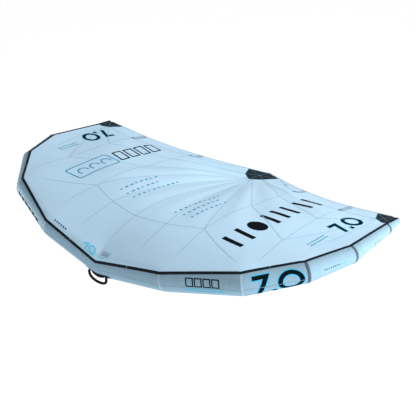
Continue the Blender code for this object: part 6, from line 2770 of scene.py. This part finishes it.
@dataclass(frozen=True)
class InflationValve:
    """The screw valve in the first right panel: patch, housing, turning cap and one way flap.

    Attributes:
        share: how far along its panel it stands.
        degrees: its place round the tube.
        radius: outer radius of the neck.
        bore: its inner radius.
        neck_depth: how far the neck goes in.
        height: how far the neck stands out.
        clearance: gap round the cap's stem.
        cap_depth: how far the stem reaches in.
        lobes: finger lobes round the cap.
        lobe_share: how much a lobe swells the cap's radius.
        lobe_depths: share of a full lobe, for each ring of the cap.
        dish: radius as a share of the cap's, and height below its top, of the dished middle.
        edge: the housing's chamfers.
        seat: gap under the flange.
    """

    skin: TubeSkin
    share: float = 0.58
    degrees: float = 112.0
    radius: float = 0.0210
    bore: float = 0.0170
    flange_radius: float = 0.0280
    flange_thickness: float = 0.0024
    neck_depth: float = 0.0160
    height: float = 0.0070
    clearance: float = 0.0005
    cap_radius: float = 0.0190
    cap_height: float = 0.0060
    cap_chamfer: float = 0.0012
    cap_depth: float = 0.0100
    lobes: int = 6
    lobe_share: float = 0.06
    lobe_depths: tuple[float, ...] = (0.0, 0.0, 1.0, 1.0, 0.9, 0.0, 0.0, 0.0)
    dish: tuple[Place, ...] = ((0.62, 0.0), (0.56, 0.0016), (0.0008 / 0.0190, 0.0018))
    edge: float = 0.0008
    seat: float = 0.0008
    flap_thickness: float = 0.0010
    patch_radius: float = 0.046
    patch_thickness: float = 0.0005
    patch_area: float = 0.0050
    sides: int = 96

    def build(self) -> None:
        """Builds the valve."""
        base = self.skin.frame(0, self.share, self.degrees)
        patch = add_piece("valve_patch_cloth", self.patch(), Look.PATCH)
        housing = hoop(base.turned(self.housing(), self.sides))
        add_piece("valve_housing_body", housing, Look.PLASTIC, "valve_housing")
        depths = np.array(self.lobe_depths)[:, None]
        swell = 1.0 + self.lobe_share * depths * np.cos(self.lobes * np.radians(turn_degrees(self.sides)))
        cap = rod(base.turned(self.cap(), self.sides, swell))
        add_piece("valve_cap_body", cap, Look.GREY_PLASTIC, "valve_plug", Body.VALVE_CAP)
        shut = -self.neck_depth - self.skin.plan.touch
        flap = rod(base.turned([(self.radius, shut - self.flap_thickness), (self.radius, shut)], self.sides))
        add_piece("valve_flap_leaf", flap, Look.SILICONE, "valve_flap", Body.FLAP)

    def housing(self) -> list[Place]:
        """Radius and height round the housing: its neck with a chamfered flange."""
        low, high, edge = self.seat, self.seat + self.flange_thickness, self.edge
        return [
            (self.bore, -self.neck_depth), (self.radius, -self.neck_depth), (self.radius, low),
            (self.flange_radius - 0.0006, low), (self.flange_radius, low + 0.0006), (self.flange_radius, high - edge),
            (self.flange_radius - edge, high), (self.radius + edge, high), (self.radius, high + edge),
            (self.radius, self.height - 0.0007), (self.radius - 0.0007, self.height), (self.bore, self.height),
        ]

    def cap(self) -> list[Place]:
        """Radius and height along the cap: its stem, its chamfered head and the dish in it."""
        seat, stem = self.height + self.skin.plan.touch, self.bore - self.clearance
        top, chamfer = seat + self.cap_height, self.cap_chamfer
        rings = [(stem, self.height - self.cap_depth), (stem, seat), (self.cap_radius, seat)]
        rings += [(self.cap_radius, top - chamfer), (self.cap_radius - chamfer, top)]
        return rings + [(self.cap_radius * share, top - depth) for share, depth in self.dish]

    def patch(self) -> Shell:
        """A round patch under the flange, open over the valve's neck.

        Returns:
            The patch.
        """
        size = (float(self.skin.lengths[0]), math.radians(float(self.skin.radius(self.share))))
        outline = np.stack(circle(60), 1) * self.patch_radius / size
        share = np.linspace(1.0, (self.radius + self.edge) / self.patch_radius, 7)
        spot = outline * share[:, None, None] + (self.share, self.degrees)
        lifts = (self.patch_thickness + HAIR, HAIR)
        return pipe(*(self.skin.place(spot[..., 0], spot[..., 1], lift) for lift in lifts), True)


@dataclass(frozen=True)
class LinkHose:
    """The air hose between leading edge and strut, its two barbs and its pinch clip.

    Attributes:
        share: how far along its panel the barb on the leading edge stands.
        degrees: that barb's place round the tube.
        strut_reach: how far behind the nose the barb on the strut stands.
        radius: outer radius of the hose.
        bore: its inner radius.
        curve_reach: length of the curve's handles.
        points: points on the curve.
        clip_points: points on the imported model's curve, whose middle holds the clip.
        barb_depth: how far a barb goes in.
        ridges: ridges on a barb, and the distance between them.
        side_gap: gap between hose and clip.
        cheek_rise: how far the clip's cheeks stand over the hose.
        lever_tab: how far the lever reaches past the clip.
        barrel_radius: radius of the lever's hinge.
    """

    tube: TubeSkin
    strut: StrutSkin
    share: float = 0.26
    degrees: float = 100.0
    strut_reach: float = 0.480
    radius: float = 0.0080
    bore: float = 0.0055
    curve_reach: float = 0.085
    points: int = 64
    clip_points: int = 22
    flange_radius: float = 0.0150
    flange_thickness: float = 0.0030
    flange_edge: float = 0.0008
    stem_radius: float = 0.0050
    stem_bore: float = 0.0033
    stem_length: float = 0.0160
    barb_depth: float = 0.0090
    ridges: tuple[int, float] = (3, 0.0042)
    clip_length: float = 0.030
    clip_wall: float = 0.0030
    side_gap: float = 0.0008
    cheek_rise: float = 0.0070
    lever_thickness: float = 0.0030
    lever_tab: float = 0.010
    lever_side_gap: float = 0.0005
    barrel_radius: float = 0.0026

    def build(self) -> None:
        """Builds barbs, hose and clip."""
        near = self.tube.frame(0, self.share, self.degrees)
        far = Frame(self.strut.spot(self.strut_reach, 90.0), Y, Z, X)
        for name, base in (("le", near), ("strut", far)):
            add_piece(f"hose_barb_{name}_body", self.barb(base), Look.PLASTIC, f"hose_barb_{name}")
        path = self.route(near, far, self.points)
        skins = (swept(path, radius, 36, Z) for radius in (self.radius, self.bore))
        hose = add_piece("link_hose_tube", pipe(*skins), Look.HOSE, "link_hose")
        length, path = float(run_of(path)[-1]), (path + WingPlan.seat).tolist()
        before, middle, after = self.route(near, far, self.clip_points)[self.clip_points // 2 :][:3]
        self.clip(middle, unit(after - before))

    def barb(self, base: Frame) -> Shell:
        """A turned hose tail with ridges on a chamfered flange.

        Args:
            base: its place.

        Returns:
            The barb.
        """
        stem, wide, edge = self.stem_radius, self.flange_radius, self.flange_edge
        low, high = StrutSkin.saddle_gap, StrutSkin.saddle_gap + self.flange_thickness
        tip = high + self.stem_length
        profile = [
            (self.stem_bore, -self.barb_depth), (stem, -self.barb_depth), (stem, low), (wide - 0.0005, low),
            (wide, low + 0.0005), (wide, high - edge), (wide - edge, high), (stem, high),
        ]
        count, step = self.ridges
        for foot in high + 0.003 + step * np.arange(count):
            profile += [(stem - 0.0004, foot), (stem + 0.0002, foot + 0.0006), (stem - 0.0004, foot + 0.0036)]
        return hoop(base.turned([*profile, (stem - 0.0006, tip), (self.stem_bore, tip)], 48))

    def route(self, near: Frame, far: Frame, points: int) -> Array:
        """The hose's line: straight over both barbs, with a cubic curve of two handles between.

        Args:
            near: the barb that it starts from.
            far: the barb that it ends at.
            points: points on the curve.

        Returns:
            Points of the line.
        """
        plan = self.tube.plan
        foot = StrutSkin.saddle_gap + self.flange_thickness + plan.touch
        ends = [barb.origin + barb.out * foot for barb in (near, far)]
        begin, stop = (end + barb.out * (self.stem_length + plan.cloth_gap) for end, barb in zip(ends, (near, far)))
        first, second = begin + near.out * self.curve_reach, stop + far.out * self.curve_reach
        share = np.linspace(0.0, 1.0, points)[:, None]
        back = 1.0 - share
        curve = back**3 * begin + 3 * back**2 * share * first + 3 * back * share**2 * second + share**3 * stop
        return np.concatenate([ends[:1], curve, ends[1:]])

    def clip(self, middle: Array, along: Array) -> None:
        """Builds a channel round the hose and a lever over it.

        Args:
            middle: middle of the channel.
            along: direction of the hose.
        """
        upward = unit(Z - along[2] * along)
        across = np.cross(along, upward)
        barrel, inner = self.barrel_radius, self.radius + self.side_gap
        outer, rise = inner + self.clip_wall, self.radius + self.cheek_rise
        channel = [
            (-outer, -outer), (outer, -outer), (outer, rise), (inner, rise),
            (inner, -inner), (-inner, -inner), (-inner, rise), (-outer, rise),
        ]
        body = prism(channel, Frame(middle, across, upward, along), self.clip_length)
        hinge = middle + upward * (inner + barrel) - along * (self.clip_length / 2.0 - barrel)
        turn = np.linspace(0.5, 1.5, 17) * math.pi
        reach = self.clip_length + self.lever_tab
        plate = [(reach, -barrel), (reach, self.lever_thickness - barrel), (barrel, barrel)]
        outline = np.concatenate([np.stack([np.cos(turn), np.sin(turn)], 1) * barrel, plate])
        lever = prism(outline, Frame(hinge, along, upward, across), 2.0 * (inner - self.lever_side_gap))
        add_piece("pinch_clip_channel_body", body, Look.GREY_PLASTIC, "pinch_clip_channel")
        add_piece("pinch_clip_lever_body", lever, Look.GREY_PLASTIC, "pinch_clip_lever", Body.CLIP)


def prism(outline: Array | Sequence[Place], base: Frame, depth: float) -> Shell:
    """An outline of any shape carried both ways along a frame's third direction, its ends cut into triangles.

    Args:
        outline: points in the frame's first two directions.
        base: the frame.
        depth: how thick it is.

    Returns:
        The solid, facing out.
    """
    x, y = np.asarray(outline).T
    rings = base.at(x[None], y[None], np.array([[-depth / 2.0], [depth / 2.0]]) + 0.0 * x)
    sides = cells(numbers(*rings.shape[:2]), grid_places(rings, True), True)
    flat = np.array(tessellate_polygon([[Vector(point) for point in rings[0]]]))
    edges = {pair for face in flat.tolist() for pair in zip(face, np.roll(face, -1).tolist())}
    way = 1 if tuple(sides[0][0, 1::-1].tolist()) in edges else -1
    spots = (rings[0] - rings[0].mean(0))[:, :2]
    lids = [(lid + far, spots[lid]) for lid, far in ((flat[:, ::way], 0), (flat[:, ::-way], len(x)))]
    return Shell.of(rings, [sides, *lids])


# Studio


@dataclass(frozen=True)
class Lamp:
    """A soft lamp: place, what it points at, size and strength."""

    name: str
    place: Colour
    aim: Colour
    size: float
    power: float
    colour: Colour = (1.0, 1.0, 1.0)

    def build(self) -> None:
        """Builds a square area lamp."""
        data = bpy.data.lights.new(self.name, "AREA")
        data.size, data.energy, data.color = self.size, self.power, self.colour
        item = bpy.data.objects.new(self.name, data)
        bpy.context.scene.collection.objects.link(item)
        item.location = self.place
        item.rotation_euler = (Vector(self.aim) - Vector(self.place)).to_track_quat("-Z", "Y").to_euler()


@dataclass(frozen=True)
class Studio:
    """Camera, lamps, pale floor and white surroundings.

    Attributes:
        view_right: what the camera has on its right.
        view_up: what it has above it.
        lens: its focal length in millimetres.
        sensor: its sensor's width in millimetres.
        sight: how far it sees.
        paper_white: strength of the white that the camera sees on the floor.
        paper_share: share of that white.
        sky: strength of the surroundings as light.
    """

    camera_place: Colour = (4.224, -4.424387, 3.366875)
    view_right: Colour = (0.7682, 0.6402, 0.0)
    view_up: Colour = (-0.2977, 0.3572, 0.8853)
    lens: float = 69.2308
    sensor: float = 36.0
    sight: float = 500.0
    floor_height: float = -2.2
    floor_half: float = 60.0
    paper_white: float = 1.08
    paper_share: float = 0.88
    sky: float = 0.31
    lamps: tuple[Lamp, ...] = (
        Lamp("key", (9.2, 4.6, 6.8), (0.0, 0.2, 0.0), 4.0, 1950.0),
        Lamp("front_high", (-1.0, -7.0, 5.0), (0.0, 0.0, 0.0), 4.0, 90.0),
        Lamp("right_low", (6.0, 0.2, -1.0), (1.3, 0.0, 0.0), 2.4, 220.0, (0.84, 0.95, 1.0)),
        Lamp("left_low", (-6.0, -1.6, -1.0), (-1.4, -0.2, 0.0), 2.4, 200.0, (0.78, 0.93, 1.0)),
        Lamp("front_low", (1.2, -5.6, -1.6), (0.6, -0.6, -0.1), 2.4, 130.0, (0.88, 0.96, 1.0)),
    )

    def build(self) -> None:
        """Builds the studio."""
        self.camera()
        for lamp in self.lamps:
            lamp.build()
        self.floor()
        self.surroundings()
        bpy.context.scene.view_settings.view_transform = "Standard"

    def camera(self) -> None:
        """A camera at the photograph's viewing angle."""
        data = bpy.data.cameras.new("camera")
        data.lens, data.sensor_width, data.clip_end = self.lens, self.sensor, self.sight
        camera = bpy.data.objects.new("camera", data)
        bpy.context.scene.collection.objects.link(camera)
        right, up = Vector(self.view_right).normalized(), Vector(self.view_up).normalized()
        back = right.cross(up).normalized()
        turn = Matrix((right, back.cross(right), back)).transposed().to_4x4()
        camera.matrix_world = Matrix.Translation(Vector(self.camera_place)) @ turn
        bpy.context.scene.camera = camera

    def floor(self) -> None:
        """A pale floor well below the wing, which the camera sees close to white."""
        half, z = self.floor_half, self.floor_height
        mesh = bpy.data.meshes.new("floor")
        mesh.from_pydata([(-half, -half, z), (half, -half, z), (half, half, z), (-half, half, z)], [], [(0, 1, 2, 3)])
        mesh.materials.append(self.floor_material())
        floor = bpy.data.objects.new("floor", mesh)
        bpy.context.scene.collection.objects.link(floor)

    def floor_material(self) -> bpy.types.Material:
        """Pale diffuse floor, with white added for the camera and for reflections; it is clear from below.

        Returns:
            The material.
        """
        bench = Bench(bpy.data.materials.new("floor_paper"))
        bench.set(Base_Color=(0.85, 0.85, 0.85), Roughness=0.9)
        white = bench.add("Emission", {"Color": (1.0, 1.0, 1.0), "Strength": self.paper_white})
        share = bench.times(self.seen(bench), self.paper_share)
        blend = bench.add("MixShader", {0: share, 1: bench.shader.outputs[0], 2: white.outputs[0]})
        below, clear = bench.add("NewGeometry").outputs["Backfacing"], bench.add("BsdfTransparent").outputs[0]
        sides = bench.add("MixShader", {0: below, 1: blend.outputs[0], 2: clear})
        bench.feed(bench.tree.nodes["Material Output"].inputs[0], sides.outputs[0])
        return bench.owner

    @staticmethod
    def seen(bench: Bench) -> Socket:
        """1 for the camera and for what mirrors and glass show."""
        path = bench.add("LightPath")
        return bench.fold("MAXIMUM", *(path.outputs[f"Is {ray} Ray"] for ray in ("Camera", "Glossy", "Transmission")))

    def surroundings(self) -> None:
        """A world that is white to the camera and softer as light."""
        world = bpy.data.worlds.new("surroundings")
        bpy.context.scene.world = world
        bench = Bench(world)
        level = bench.add("MapRange", {"Value": self.seen(bench), "To Min": self.sky, "To Max": 1.0})
        bench.set(Color=(1.0, 1.0, 1.0), Strength=level.outputs[0])


POCKETS = (0.371, 0.726)
"""Places of a wing half's batten pockets, as shares of its span."""

GRIPS = {"front": 0.780, "rear": 1.330}
"""How far behind the nose each grip's middle lies."""


def main() -> None:
    """Builds the studio, then the wing in order."""
    logging.basicConfig(level=logging.INFO, format="%(message)s")
    plan = WingPlan()
    tube = TubeSkin(plan)
    canopy = CanopySkin(plan, tube)
    strut = StrutSkin(plan, canopy)
    Studio().build()
    LeadingEdge(tube).build()
    on_canopy = CanopyPatches(canopy).build()
    for side, letter in SIDES:
        for number, share in enumerate(POCKETS):
            BattenPocket(canopy, f"{letter}_{number + 1}", side * share * plan.half_span).build()
    on_canopy += Print(canopy, tube).build()
    Canopy(canopy).build(on_canopy)
    CentreStrut(strut).build()
    for name, reach in GRIPS.items():
        HandGrip(strut, name, reach).build()
    NoseHandle(tube).build()
    LeashPoint(strut).build()
    InflationValve(tube).build()
    LinkHose(tube, strut).build()


if __name__ == "__main__":
    main()
